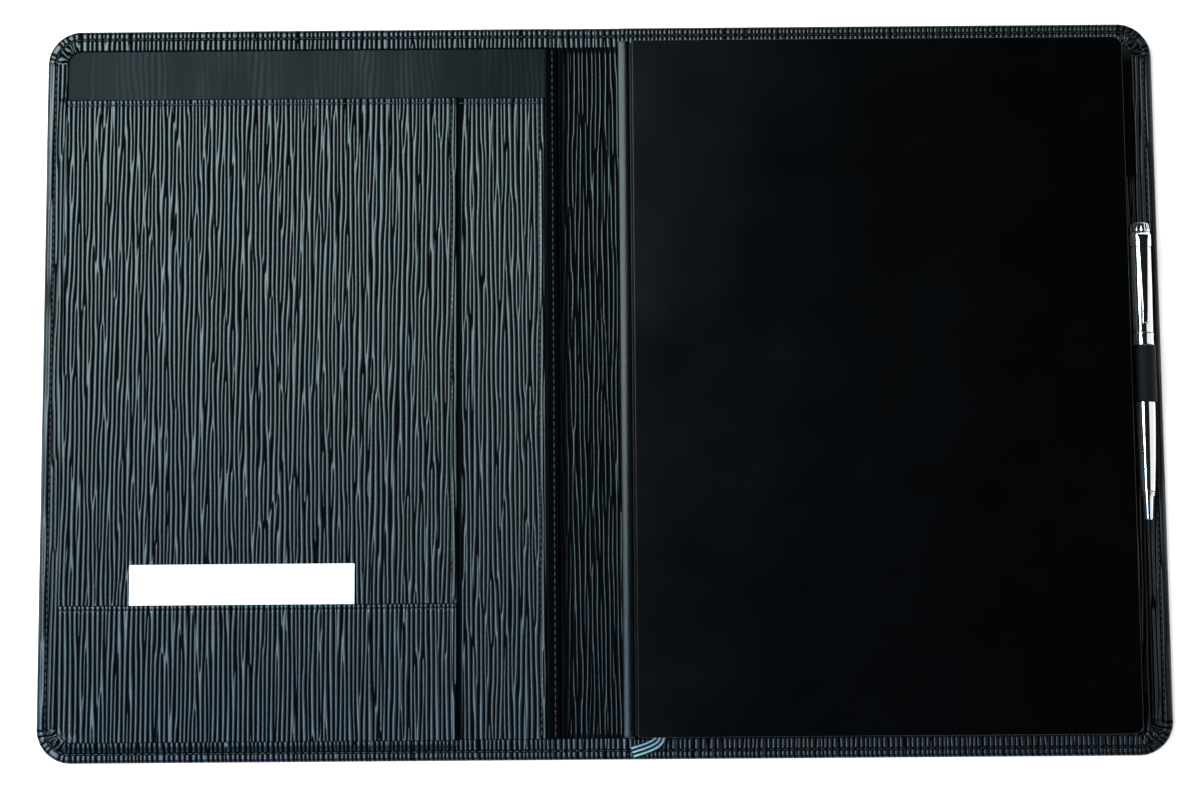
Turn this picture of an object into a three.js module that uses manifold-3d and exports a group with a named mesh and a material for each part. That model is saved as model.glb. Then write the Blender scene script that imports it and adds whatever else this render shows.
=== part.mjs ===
// A leather notebook cover lying open, with the book, the pen and the card that it holds.
// Millimetres, +Z up, the cover lies on z = 0 and is centred on x = 0, y = 0.
// The long side runs along X, the spine along Y.
import * as THREE from "three";
import { mergeVertices } from "three/addons/utils/BufferGeometryUtils.js";
import Module from "manifold-3d";

const wasm = await Module();
wasm.setup();

// Cover, as it lies open
const openWidth = 487;
const coverHeight = 320;
const cornerRadius = 15;
const hideThickness = 1.2; // outer leather
const edgeRound = 1.5; // rounding of the turned edge, seen in section
const boardThickness = 1.6;
const liningThickness = 0.3;
const borderWidth = 9; // leather turned in over the lining
const borderThickness = 1.2;

// Soft spine between two bends that share the half turn of closing
const spineWidth = 25;
const spineMiddle = -6.5; // from the middle of the open cover
const bendAngle = 90;
const stripThickness = 1.2; // leather strip inside the spine
const liningFromBend = 2.1;
const boardFromBend = 2.9;

// Left pockets
const pocketThickness = 0.7;
const pocketSlack = 0.3; // room inside a flat pocket
const seamWidth = 4; // sewn edge of a pocket
const pocketFromTop = 31.2; // open end of the tall pockets below the cover's edge
const rearPocketFromBend = 5.5;
const frontPocketFromRear = 38.4;
const cardPocketHeight = 58.3;
const cardPocketSlack = 0.9;

// Card
const cardWidth = 96.8;
const cardLength = 62;
const cardThickness = 0.4;
const cardFromBorder = 30.6;
const cardShows = 17.3; // length of card above its pocket

// Book
const bookRoom = 1; // between the book's ends and the border
const bookFromBorder = 7.7; // fore edge of its covers from the right border
const bookCorner = 4;
const bookBoard = 2.4;
const bookThickness = 16.5;
const pageInset = 1.5; // pages inside the covers at head and tail
const foreInset = 3; // pages inside the covers at the fore edge
const endpaper = 0.2;
const leafGap = 0.2; // between leaves, endpapers and covers
const ribbonGap = 0.65; // the ribbon lies between the two halves of the block
const lowerShare = 0.5; // share of the leaves behind the ribbon
const backRadius = 8.5; // round back of the case
const backThickness = 1.4;
const backLeft = 7.8; // furthest left point of the round back
const backMiddleZ = 12.67;
const jointX = 12.6; // cloth joint on which the front cover turns
const backCoverFrom = 6.3; // back cover's left edge from the furthest point of the round back
const jointCloth = 0.9;
const jointSlit = 0.35; // half of the groove between round back and front cover

// Right pocket
const rightPocketWidth = 108.8; // from its open side to the book's fore edge
const rightPocketFromTop = 68.2;
const rightPocketWall = 0.7;
const rightPocketSlack = 0.3;
const rightPanelThickness = 0.8;

// Pen
const penFromEdge = 9.5; // its axis from the cover's right edge
const penZ = 9.9;
const penTop = 69.3;
const penTip = -59.6;
const finialLength = 4.2;
const finialTopRadius = 3.9;
const clipRingLength = 6.4;
const upperRadius = 4.7;
const upperMouthRadius = 4.5;
const ringLength = 5;
const ringRadius = 4.8;
const gripRadius = 4.4; // lower barrel below the ring
const barrelEndRadius = 3.1;
const coneLength = 12;
const coneStep = 0.9;
const coneTipRadius = 1.75;
const barrelWall = 1.1;
const refillRadius = 1.6;
const refillTipRadius = 0.6;
const refillTravel = 3;
const refillTaper = 7; // from its thin point to its full thickness
const sleeveLength = 34;
const clipEndY = 25;
const clipWidthTop = 4.8;
const clipWidthEnd = 2.2;
const clipThickness = 1.1;
const clipRise = 1.5; // clip arm above the barrel
const roundFaces = 36;

// Pen loop
const loopLow = -9;
const loopHigh = 15.5;
const loopElastic = 0.55;
const loopClearance = 0.35;
const loopTabThickness = 0.7;

// Ribbon marker
const ribbonWidth = 5.3;
const ribbonThickness = 0.3;

const clearance = 0.3; // between pieces that are cut to each other or that move

// Levels that follow from the sizes
const halfWidth = openWidth / 2;
const halfHeight = coverHeight / 2;
const bendZ = hideThickness;
const boardTop = hideThickness + boardThickness;
const liningTop = boardTop + liningThickness;
const borderTop = liningTop + borderThickness;
const stripTop = hideThickness + stripThickness;
const spineBorderTop = stripTop + borderThickness;
const rightBend = spineMiddle + spineWidth / 2;
const leftBend = spineMiddle - spineWidth / 2;
const mitre = Math.tan(THREE.MathUtils.degToRad(bendAngle / 2));
const innerHeight = halfHeight - borderWidth;
const innerWidth = halfWidth - borderWidth;
const innerCorner = cornerRadius - borderWidth;

// Places that follow from the cover's size
const pocketTop = halfHeight - pocketFromTop;
const rearPocketRight = leftBend - rearPocketFromBend;
const frontPocketRight = rearPocketRight - frontPocketFromRear;
const cardPocketTop = cardPocketHeight - innerHeight;
const cardLeft = cardFromBorder - innerWidth;
const bookHigh = innerHeight - bookRoom;
const bookLow = -bookHigh;
const bookRight = innerWidth - bookFromBorder;
const rightPocketLeft = bookRight - rightPocketWidth;
const rightPocketTop = halfHeight - rightPocketFromTop;
const penX = halfWidth - penFromEdge;

// Solids: only joins and cuts go through the boolean library
function solid(geometry) {
  const bare = geometry.index ? geometry.toNonIndexed() : geometry.clone();
  bare.deleteAttribute("normal");
  bare.deleteAttribute("uv");
  const merged = mergeVertices(bare, 1e-4);
  return new wasm.Manifold(
    new wasm.Mesh({
      numProp: 3,
      vertProperties: merged.attributes.position.array,
      triVerts: new Uint32Array(merged.index.array),
    }),
  );
}

function surface(body) {
  const mesh = body.getMesh();
  const geometry = new THREE.BufferGeometry();
  geometry.setAttribute("position", new THREE.BufferAttribute(new Float32Array(mesh.vertProperties), 3));
  geometry.setIndex(new THREE.BufferAttribute(new Uint32Array(mesh.triVerts), 1));
  const flat = geometry.toNonIndexed();
  flat.computeVertexNormals();
  return flat;
}

const joined = (first, ...rest) => rest.reduce((body, next) => body.add(next), first);
const without = (first, ...rest) => rest.reduce((body, next) => body.subtract(next), first);

// Outline of a rectangle whose four corners have their own radii
function rectangle(left, right, low, high, radii) {
  const [lowLeft, lowRight, highRight, highLeft] = radii;
  const shape = new THREE.Shape();
  shape.moveTo(left + lowLeft, low);
  shape.lineTo(right - lowRight, low);
  if (lowRight) shape.absarc(right - lowRight, low + lowRight, lowRight, -Math.PI / 2, 0);
  shape.lineTo(right, high - highRight);
  if (highRight) shape.absarc(right - highRight, high - highRight, highRight, 0, Math.PI / 2);
  shape.lineTo(left + highLeft, high);
  if (highLeft) shape.absarc(left + highLeft, high - highLeft, highLeft, Math.PI / 2, Math.PI);
  shape.lineTo(left, low + lowLeft);
  if (lowLeft) shape.absarc(left + lowLeft, low + lowLeft, lowLeft, Math.PI, 1.5 * Math.PI);
  return shape;
}

// A flat sheet between two levels
function sheet(shape, low, high) {
  const geometry = new THREE.ExtrudeGeometry(shape, { depth: high - low, bevelEnabled: false, curveSegments: 8 });
  return solid(geometry.translate(0, 0, low));
}

const plate = (left, right, low, high, bottom, top, radii = [0, 0, 0, 0]) =>
  sheet(rectangle(left, right, low, high, radii), bottom, top);

// A sheet whose upper and lower edges are rounded, as leather turned round a board
function turnedSheet(shape, thickness) {
  const geometry = new THREE.ExtrudeGeometry(shape, {
    depth: thickness - 2 * edgeRound,
    bevelThickness: edgeRound,
    bevelSize: edgeRound,
    bevelOffset: -edgeRound,
    bevelSegments: 4,
    curveSegments: 8,
  });
  return solid(geometry.translate(0, 0, edgeRound));
}

// A section drawn in X and Z, drawn out along Y
function alongY(shape, low, high) {
  const geometry = new THREE.ExtrudeGeometry(shape, { depth: high - low, bevelEnabled: false, curveSegments: 12 });
  return solid(geometry.rotateX(Math.PI / 2).translate(0, high, 0));
}

// A section drawn in Y and Z, drawn out along X
function alongX(shape, left, right) {
  const geometry = new THREE.ExtrudeGeometry(shape, { depth: right - left, bevelEnabled: false, curveSegments: 6 });
  return solid(geometry.rotateZ(Math.PI / 2).rotateY(Math.PI / 2).translate(left, 0, 0));
}

const polygon = (points) => new THREE.Shape(points.map(([x, y]) => new THREE.Vector2(x, y)));

// A turned piece on the pen's axis: the profile lists radius and place along the axis
function turned(profile) {
  const points = profile.map(([radius, y]) => new THREE.Vector2(radius, y));
  return solid(new THREE.LatheGeometry(points, roundFaces));
}

// The space that one stretch of the cover may fill: its ends lean in above the bends,
// so that neighbours close up on each other without meeting
const envelopeTop = 30;
const lean = (envelopeTop - bendZ) * mitre;
function stretch(left, right, leftLeans, rightLeans) {
  const from = leftLeans ? left + clearance / 2 : left;
  const to = rightLeans ? right - clearance / 2 : right;
  const points = [[from, -1], [to, -1], [to, bendZ]];
  if (rightLeans) points.push([to - lean, envelopeTop]);
  else points.push([to, envelopeTop]);
  if (leftLeans) points.push([from + lean, envelopeTop], [from, bendZ]);
  else points.push([from, envelopeTop]);
  return alongY(polygon(points), -coverHeight, coverHeight);
}

// The space of the spine: both ends lean in
function spineSpace() {
  const from = leftBend + clearance / 2;
  const to = rightBend - clearance / 2;
  const top = spineBorderTop + 1;
  const inward = (top - bendZ) * mitre;
  const points = [[from, -1], [to, -1], [to, bendZ], [to - inward, top], [from + inward, top], [from, bendZ]];
  return alongY(polygon(points), -coverHeight, coverHeight);
}

// Outer leather of one cover: side is 1 for the right cover and -1 for the left
function outerLeather(side, bend) {
  const past = bend - side * spineWidth;
  const span = (inset) => [past, side * (halfWidth - inset)].sort((a, b) => a - b);
  const corners = (radius) => (side > 0 ? [0, radius, radius, 0] : [radius, 0, 0, radius]);
  const body = turnedSheet(rectangle(...span(0), -halfHeight, halfHeight, corners(cornerRadius)), borderTop);
  const hollowHeight = halfHeight - hideThickness;
  const hollow = sheet(
    rectangle(...span(hideThickness), -hollowHeight, hollowHeight, corners(cornerRadius - hideThickness)),
    hideThickness,
    liningTop,
  );
  const window = sheet(
    rectangle(...span(borderWidth), -innerHeight, innerHeight, corners(innerCorner)),
    hideThickness,
    borderTop + 1,
  );
  const end = side > 0 ? stretch(bend, halfWidth + 1, true, false) : stretch(-halfWidth - 1, bend, false, true);
  return without(body, hollow, window).intersect(end);
}

// Board or lining of one cover, lying inside the turned leather
function innerLayer(side, bend, fromBend, low, high) {
  const inset = hideThickness + clearance;
  const near = bend + side * fromBend;
  const far = side * (halfWidth - inset);
  const radius = cornerRadius - inset;
  const radii = side > 0 ? [0, radius, radius, 0] : [radius, 0, 0, radius];
  return plate(Math.min(near, far), Math.max(near, far), inset - halfHeight, halfHeight - inset, low, high, radii);
}

// Section of the spine leather in Y and Z: a flat back and two turned-in ends
function spineSection() {
  const round = edgeRound;
  const shape = new THREE.Shape();
  shape.moveTo(round - halfHeight, 0);
  shape.lineTo(halfHeight - round, 0);
  shape.absarc(halfHeight - round, round, round, -Math.PI / 2, 0);
  shape.absarc(halfHeight - round, spineBorderTop - round, round, 0, Math.PI / 2);
  shape.lineTo(innerHeight, spineBorderTop);
  shape.lineTo(innerHeight, stripTop);
  shape.lineTo(halfHeight - hideThickness, stripTop);
  shape.lineTo(halfHeight - hideThickness, hideThickness);
  shape.lineTo(hideThickness - halfHeight, hideThickness);
  shape.lineTo(hideThickness - halfHeight, stripTop);
  shape.lineTo(-innerHeight, stripTop);
  shape.lineTo(-innerHeight, spineBorderTop);
  shape.lineTo(round - halfHeight, spineBorderTop);
  shape.absarc(round - halfHeight, spineBorderTop - round, round, Math.PI / 2, Math.PI);
  shape.absarc(round - halfHeight, round, round, Math.PI, 1.5 * Math.PI);
  return shape;
}

const spineLeather = () => alongX(spineSection(), leftBend, rightBend).intersect(spineSpace());

function spineStrip() {
  const reach = halfHeight - hideThickness - clearance;
  return plate(leftBend, rightBend, -reach, reach, hideThickness, stripTop).intersect(spineSpace());
}

// A flat pocket: sewn along three edges, open at the top
function flatPocket(right, top, base, slack) {
  const left = clearance - innerWidth;
  const low = clearance - innerHeight;
  const corner = innerCorner - clearance;
  const panel = plate(left, right, low, top, base, base + slack + pocketThickness, [corner, 0, 0, 0]);
  const room = plate(left + seamWidth, right - seamWidth, low + seamWidth, top + 1, base - 1, base + slack);
  return without(panel, room);
}

const rearTop = liningTop + pocketSlack + pocketThickness;
const frontTop = rearTop + pocketSlack + pocketThickness;

function card() {
  const top = cardPocketTop + cardShows;
  const base = frontTop + clearance;
  return plate(cardLeft, cardLeft + cardWidth, top - cardLength, top, base, base + cardThickness);
}

// Book: levels from the back cover up
const bookBase = liningTop;
const backCoverTop = bookBase + bookBoard;
const panelLow = backCoverTop + endpaper + rightPocketSlack;
const panelTop = panelLow + rightPanelThickness;
const leavesLow = panelTop + leafGap;
const bookTop = bookBase + bookThickness;
const frontCoverLow = bookTop - bookBoard;
const leavesTop = frontCoverLow - endpaper - leafGap;
const leavesDepth = leavesTop - leavesLow - ribbonGap;
const lowerTop = leavesLow + leavesDepth * lowerShare;
const upperLow = lowerTop + ribbonGap;
const backCentreX = backLeft + backRadius;
const blockRadius = backRadius - backThickness - 0.5;

// The round back of the case: a bent shell between the two cloth joints
function bookBack() {
  const inner = backRadius - backThickness;
  const shell = new THREE.Shape();
  shell.absarc(backCentreX, backMiddleZ, backRadius, Math.PI / 2, 1.5 * Math.PI);
  shell.absarc(backCentreX, backMiddleZ, inner, 1.5 * Math.PI, Math.PI / 2, true);
  const trim = rectangle(
    backLeft - 1,
    jointX - jointSlit,
    bookBase + bookBoard * 0.6,
    bookTop - 0.5,
    [0, 0, 0, 0],
  );
  return alongY(shell, bookLow, bookHigh).intersect(alongY(trim, bookLow, bookHigh));
}

const bookCover = (low, top, left) =>
  plate(left, bookRight, bookLow, bookHigh, low, top, [1, bookCorner, bookCorner, 1]);

// The front cover carries the cloth tongue of its joint
function frontCover() {
  const board = bookCover(frontCoverLow, bookTop, jointX + 1.6);
  const tongue = plate(
    jointX + jointSlit,
    jointX + 2,
    bookLow + 1,
    bookHigh - 1,
    bookTop - jointCloth - 0.2,
    bookTop - 0.2,
  );
  return joined(board, tongue);
}

function pastedPaper(low, top) {
  const inset = pageInset;
  return plate(
    backCentreX,
    bookRight - foreInset,
    bookLow + inset,
    bookHigh - inset,
    low,
    top,
  );
}

// One half of the leaves: its back is round, as the case is
function leaves(low, top) {
  const arcAt = (z) => Math.sqrt(blockRadius ** 2 - (z - backMiddleZ) ** 2);
  const start = Math.atan2(top - backMiddleZ, -arcAt(top));
  const end = Math.atan2(low - backMiddleZ, -arcAt(low));
  const shape = new THREE.Shape();
  shape.moveTo(bookRight - foreInset, low);
  shape.lineTo(bookRight - foreInset, top);
  shape.lineTo(backCentreX - arcAt(top), top);
  shape.absarc(backCentreX, backMiddleZ, blockRadius, start, end < 0 ? end + 2 * Math.PI : end);
  return alongY(shape, bookLow + pageInset, bookHigh - pageInset);
}

// Head or tail band: a small roll along the round back of the leaves
function bookBand(low, high) {
  const ring = new THREE.Shape();
  ring.absarc(backCentreX, backMiddleZ, blockRadius, 0.72 * Math.PI, 1.24 * Math.PI);
  ring.absarc(backCentreX, backMiddleZ, blockRadius - 1.5, 1.24 * Math.PI, 0.72 * Math.PI, true);
  return alongY(ring, low, high);
}

// Right pocket: a panel over the back cover of the book, a wall beside it and a sewn flange
function rightPocket() {
  const wallIn = bookRight + clearance;
  const flangeRight = innerWidth - clearance;
  const flangeTop = liningTop + rightPanelThickness;
  const low = clearance / 2 - innerHeight;
  const profile = new THREE.Shape();
  profile.moveTo(rightPocketLeft, panelLow);
  profile.lineTo(wallIn, panelLow);
  profile.lineTo(wallIn, liningTop);
  profile.lineTo(flangeRight, liningTop);
  profile.lineTo(flangeRight, flangeTop);
  profile.lineTo(wallIn + 2.2, flangeTop);
  profile.quadraticCurveTo(wallIn + 1.1, flangeTop, wallIn + 1.0, flangeTop + 1.2);
  profile.quadraticCurveTo(wallIn + 0.9, panelTop, wallIn - 0.8, panelTop);
  profile.lineTo(rightPocketLeft, panelTop);
  const panel = alongY(profile, low, rightPocketTop);
  const tailWall = plate(rightPocketLeft, flangeRight, low, low + rightPocketWall, liningTop, panelTop - 0.2);
  const corner = plate(
    rightPocketLeft - 1,
    flangeRight,
    low,
    rightPocketTop + 1,
    0,
    envelopeTop,
    [0, innerCorner - clearance, 0, 0],
  );
  return joined(panel, tailWall).intersect(corner);
}

// Pen pieces, drawn on their own axis
const ringHigh = loopHigh + clearance + ringLength;
const ringLow = loopHigh + clearance;
const capLow = ringHigh + clearance;
const clipRingHigh = penTop - finialLength;
const clipRingLow = clipRingHigh - clipRingLength;
const coneHigh = penTip + coneLength;
const refillBore = refillRadius + clearance;

function lowerBarrel() {
  const top = ringLow - clearance;
  const mid = (top + coneHigh) / 2;
  const belly = gripRadius - (gripRadius - barrelEndRadius) * 0.3;
  return turned([
    [refillBore, coneHigh + clearance],
    [barrelEndRadius, coneHigh + clearance],
    [belly, mid],
    [gripRadius, top - 22],
    [gripRadius, top],
    [refillBore, top],
    [refillBore, coneHigh + clearance],
  ]);
}

function noseCone() {
  return turned([
    [refillBore, coneHigh],
    [refillTipRadius + clearance, penTip + 2.5],
    [refillTipRadius + clearance, penTip],
    [coneTipRadius - 0.3, penTip],
    [coneTipRadius, penTip + 0.3],
    [barrelEndRadius - coneStep + 0.1, coneHigh - 1.6],
    [barrelEndRadius - 0.2, coneHigh - 1.6],
    [barrelEndRadius - 0.2, coneHigh - 0.8],
    [barrelEndRadius - 0.5, coneHigh - 0.8],
    [barrelEndRadius - 0.5, coneHigh - 0.5],
    [barrelEndRadius, coneHigh - 0.5],
    [barrelEndRadius, coneHigh],
    [refillBore, coneHigh],
  ]);
}

function centreRing() {
  return turned([
    [refillBore, ringLow],
    [ringRadius - 0.3, ringLow],
    [ringRadius, ringLow + 0.3],
    [ringRadius, ringHigh - 0.3],
    [ringRadius - 0.3, ringHigh],
    [refillBore, ringHigh],
    [refillBore, ringLow],
  ]);
}

function upperBarrel() {
  const bore = upperMouthRadius - barrelWall;
  const top = clipRingLow - clearance;
  return turned([
    [bore, capLow],
    [upperMouthRadius, capLow],
    [upperRadius, (capLow + top) / 2],
    [upperRadius, top],
    [bore, top],
    [bore, capLow],
  ]);
}

function finial() {
  const low = clipRingHigh + clearance;
  return turned([
    [0, low],
    [upperRadius - 0.5, low],
    [upperRadius - 0.2, low + 0.5],
    [finialTopRadius, penTop - 0.5],
    [finialTopRadius - 0.6, penTop],
    [0, penTop],
  ]);
}

// Clip: a ring round the barrel's top, and an arm that narrows towards its tip
function clip() {
  const ring = turned([
    [0, clipRingLow],
    [upperRadius, clipRingLow],
    [upperRadius + 0.2, clipRingLow + 0.8],
    [upperRadius + 0.2, clipRingHigh - 1.2],
    [upperRadius - 0.2, clipRingHigh],
    [0, clipRingHigh],
  ]);
  const armLow = upperRadius + clipRise;
  const side = new THREE.Shape();
  side.moveTo(clipRingHigh - 0.6, upperRadius - 1.2);
  side.lineTo(clipRingHigh - 0.6, armLow - 0.4);
  side.quadraticCurveTo(clipRingHigh - 1.2, armLow + clipThickness, clipRingHigh - 3.4, armLow + clipThickness);
  side.lineTo(clipEndY + 4, armLow + clipThickness);
  side.quadraticCurveTo(clipEndY + 1, armLow + clipThickness, clipEndY, armLow + 0.2);
  side.quadraticCurveTo(clipEndY + 1, upperRadius + 0.2, clipEndY + 2.4, upperRadius + clearance);
  side.quadraticCurveTo(clipEndY + 3.4, armLow, clipEndY + 7, armLow);
  side.lineTo(clipRingLow + 1, armLow);
  side.lineTo(clipRingLow + 1, upperRadius - 1.2);
  const arm = alongX(side, -clipWidthTop / 2, clipWidthTop / 2);
  const taper = sheet(
    polygon([
      [-clipWidthEnd / 2, clipEndY - 1],
      [clipWidthEnd / 2, clipEndY - 1],
      [clipWidthTop / 2, clipRingHigh],
      [-clipWidthTop / 2, clipRingHigh],
    ]),
    0,
    envelopeTop,
  );
  return joined(ring, arm.intersect(taper));
}

const sleeveRadius = upperMouthRadius - barrelWall - clearance;
const sleeveLow = capLow + 3;
const refillBack = sleeveLow + 8;

function twistSleeve() {
  const high = sleeveLow + sleeveLength;
  return turned([
    [refillBore, sleeveLow],
    [sleeveRadius, sleeveLow],
    [sleeveRadius, high],
    [0, high],
    [0, high - 4],
    [refillBore, high - 4],
    [refillBore, sleeveLow],
  ]);
}

function refill() {
  const tipStart = penTip + 3.2 + refillTravel;
  return turned([
    [0, penTip + 0.4],
    [refillTipRadius * 0.5, penTip + 0.5],
    [refillTipRadius, penTip + 1.4],
    [refillTipRadius, tipStart],
    [refillRadius, tipStart + refillTaper],
    [refillRadius, refillBack],
    [0, refillBack],
  ]);
}

// Pen loop: elastic round the lower barrel, on a flat tab sewn to the border
function penLoop() {
  const inner = gripRadius + loopClearance;
  const outer = inner + loopElastic;
  const ring = turned([
    [inner, loopLow],
    [outer, loopLow],
    [outer, loopHigh],
    [inner, loopHigh],
    [inner, loopLow],
  ]).translate([penX, 0, penZ]);
  const tab = plate(penX - outer + 0.6, penX + outer - 0.6, loopLow, loopHigh, borderTop, borderTop + loopTabThickness);
  const barrel = turned([[0, loopLow - 1], [inner, loopLow - 1], [inner, loopHigh + 1], [0, loopHigh + 1]]);
  return without(joined(ring, tab), barrel.translate([penX, 0, penZ]));
}

// Ribbon marker: points of its middle line from the head of the book to its cut end
const ribbonLies = lowerTop + ribbonThickness / 2 + 0.05;
const ribbonRoute = [
  [17.5, bookHigh - pageInset - 1, ribbonLies],
  [18.2, bookHigh * 0.6, ribbonLies],
  [19.6, 0, ribbonLies],
  [21.4, bookLow * 0.6, ribbonLies],
  [22.8, bookLow + 14, ribbonLies],
  [23.1, bookLow + 5, ribbonLies],
  [23.2, bookLow + 1, ribbonLies],
  [23.2, bookLow - 0.6, ribbonLies - 0.8],
  [22.6, bookLow - 2, ribbonLies - 3.6],
  [20.8, bookLow - 3.5, borderTop + 1.4],
  [17.4, bookLow - 5, borderTop + 0.55],
  [11.8, bookLow - 6.8, borderTop + 0.5],
];

function ribbonMarker() {
  const line = new THREE.CatmullRomCurve3(ribbonRoute.map((point) => new THREE.Vector3(...point)));
  const steps = 60;
  const across = new THREE.Vector3();
  const positions = [];
  const faces = [];
  for (let i = 0; i <= steps; i++) {
    const t = i / steps;
    const point = line.getPoint(t);
    const along = line.getTangent(t);
    across.set(along.y, -along.x, 0).normalize().negate();
    const thick = new THREE.Vector3().crossVectors(along, across).normalize();
    if (thick.z < 0) thick.negate();
    for (const [u, v] of [[-1, -1], [1, -1], [1, 1], [-1, 1]]) {
      const corner = point.clone();
      corner.addScaledVector(across, (u * ribbonWidth) / 2);
      corner.addScaledVector(thick, (v * ribbonThickness) / 2);
      positions.push(corner.x, corner.y, corner.z);
    }
  }
  for (let i = 0; i < steps; i++) {
    for (let side = 0; side < 4; side++) {
      const a = 4 * i + side;
      const b = 4 * i + ((side + 1) % 4);
      faces.push(a, b, b + 4, a, b + 4, a + 4);
    }
  }
  const last = 4 * steps;
  faces.push(0, 2, 1, 0, 3, 2, last, last + 1, last + 2, last, last + 2, last + 3);
  const geometry = new THREE.BufferGeometry();
  geometry.setAttribute("position", new THREE.Float32BufferAttribute(positions, 3));
  geometry.setIndex(faces);
  return solid(geometry);
}

// Finishes
const finish = (color, roughness, metalness = 0) =>
  new THREE.MeshStandardMaterial({ color, roughness, metalness });
const hide = () => finish(0x2c3436, 0.42);
const liningCloth = () => finish(0x262c30, 0.6);
const greyBoard = () => finish(0x8b8578, 0.9);
const bookCloth = () => finish(0x0b0d10, 0.5);
const paper = () => finish(0xeee9dc, 0.85);
const whiteCard = () => finish(0xf3f6f6, 0.7);
const chrome = () => finish(0xd8dcde, 0.12, 1);
const brass = () => finish(0xb5954a, 0.35, 1);
const steel = () => finish(0x9aa0a4, 0.3, 1);
const elastic = () => finish(0x101214, 0.85);
const wovenBand = () => finish(0x17191b, 0.8);

function group(...meshes) {
  const made = new THREE.Group();
  meshes.forEach((mesh) => made.add(mesh));
  return made;
}

function piece(name, body, material) {
  const mesh = new THREE.Mesh(surface(body), material);
  mesh.name = name;
  return mesh;
}

const spine = group(
  piece("spine_leather", spineLeather(), hide()),
  piece("spine_strip", spineStrip(), hide()),
);

const rightCover = group(
  piece("right_outer_leather", outerLeather(1, rightBend), hide()),
  piece("right_board", innerLayer(1, rightBend, boardFromBend, hideThickness, boardTop), greyBoard()),
  piece("right_lining", innerLayer(1, rightBend, liningFromBend, boardTop, liningTop), liningCloth()),
  piece("right_pocket", rightPocket(), hide()),
  piece("pen_loop", penLoop(), elastic()),
);

const leftCover = group(
  piece("left_outer_leather", outerLeather(-1, leftBend), hide()),
  piece("left_board", innerLayer(-1, leftBend, boardFromBend, hideThickness, boardTop), greyBoard()),
  piece("left_lining", innerLayer(-1, leftBend, liningFromBend, boardTop, liningTop), liningCloth()),
  piece("rear_pocket", flatPocket(rearPocketRight, pocketTop, liningTop, pocketSlack), hide()),
  piece("front_pocket", flatPocket(frontPocketRight, pocketTop, rearTop, pocketSlack), hide()),
  piece("card_pocket", flatPocket(frontPocketRight, cardPocketTop, frontTop, cardPocketSlack), hide()),
  piece("card", card(), whiteCard()),
);

const backCoverLeft = backLeft + backCoverFrom;
const book = group(
  piece("book_front_cover", frontCover(), bookCloth()),
  piece("book_back_cover", bookCover(bookBase, backCoverTop, backCoverLeft), bookCloth()),
  piece("book_spine", bookBack(), bookCloth()),
  piece("front_endpaper", pastedPaper(frontCoverLow - endpaper, frontCoverLow), paper()),
  piece("back_endpaper", pastedPaper(backCoverTop, backCoverTop + endpaper), paper()),
  piece("upper_pages", leaves(upperLow, leavesTop), paper()),
  piece("lower_pages", leaves(leavesLow, lowerTop), paper()),
  piece("head_band", bookBand(bookHigh - pageInset + 0.1, bookHigh - 0.1), wovenBand()),
  piece("tail_band", bookBand(bookLow + 0.1, bookLow + pageInset - 0.1), wovenBand()),
  piece("ribbon_marker", ribbonMarker(), wovenBand()),
);

const pen = group(
  piece("pen_lower_barrel", lowerBarrel(), chrome()),
  piece("pen_nose_cone", noseCone(), chrome()),
  piece("pen_centre_ring", centreRing(), chrome()),
  piece("pen_upper_barrel", upperBarrel(), chrome()),
  piece("pen_clip", clip(), chrome()),
  piece("pen_finial", finial(), chrome()),
  piece("pen_twist_sleeve", twistSleeve(), brass()),
  piece("pen_refill", refill(), steel()),
);
pen.position.set(penX, 0, penZ);

const notebook = group(rightCover, spine, leftCover, book, pen);

export default notebook;
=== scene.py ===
# %% [markdown]
# A leather notebook cover lying open: left pockets with a card, a soft spine, a case-bound book
# held on the right by its back cover, a twist pen in an elastic loop, and a ribbon marker.
# The CAD model is loaded first, as a fixed frame, and every soft or visible piece is then made
# in its place. All sizes below are in millimetres, and each mesh is turned into metres once.

# %% Load the frame
import math

import bpy
import numpy as np
from mathutils import Matrix, Vector


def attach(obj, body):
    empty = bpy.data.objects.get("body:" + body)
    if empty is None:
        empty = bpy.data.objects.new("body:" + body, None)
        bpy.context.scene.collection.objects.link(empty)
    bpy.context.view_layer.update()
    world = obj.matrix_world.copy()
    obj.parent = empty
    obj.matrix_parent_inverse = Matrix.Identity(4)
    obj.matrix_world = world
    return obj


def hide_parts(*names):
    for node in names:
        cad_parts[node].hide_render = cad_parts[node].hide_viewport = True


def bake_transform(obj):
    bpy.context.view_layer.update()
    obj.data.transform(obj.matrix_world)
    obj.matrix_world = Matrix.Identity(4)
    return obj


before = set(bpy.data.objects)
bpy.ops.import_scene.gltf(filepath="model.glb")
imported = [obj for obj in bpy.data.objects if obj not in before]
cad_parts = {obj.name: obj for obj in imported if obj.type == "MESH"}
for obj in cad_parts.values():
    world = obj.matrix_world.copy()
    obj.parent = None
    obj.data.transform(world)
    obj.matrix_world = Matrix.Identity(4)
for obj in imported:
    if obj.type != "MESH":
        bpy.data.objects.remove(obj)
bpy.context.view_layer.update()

MM = 0.001
HALF_WIDTH, HALF_HEIGHT, CORNER, BORDER = 243.5, 160.0, 15.0, 9.0
INNER_X, INNER_Y = HALF_WIDTH - BORDER, HALF_HEIGHT - BORDER
STRAIGHT_X, STRAIGHT_Y = HALF_WIDTH - CORNER, HALF_HEIGHT - CORNER
LEFT_START, RIGHT_START, SPINE_MIDDLE = 23.0, 10.0, -6.5
BORDER_TOP, LINING_TOP, LINING_LOW, STRIP_TOP, HIDE = 4.3, 3.1, 2.82, 2.4, 1.2
print("frame", len(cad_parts), "nodes")

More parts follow.
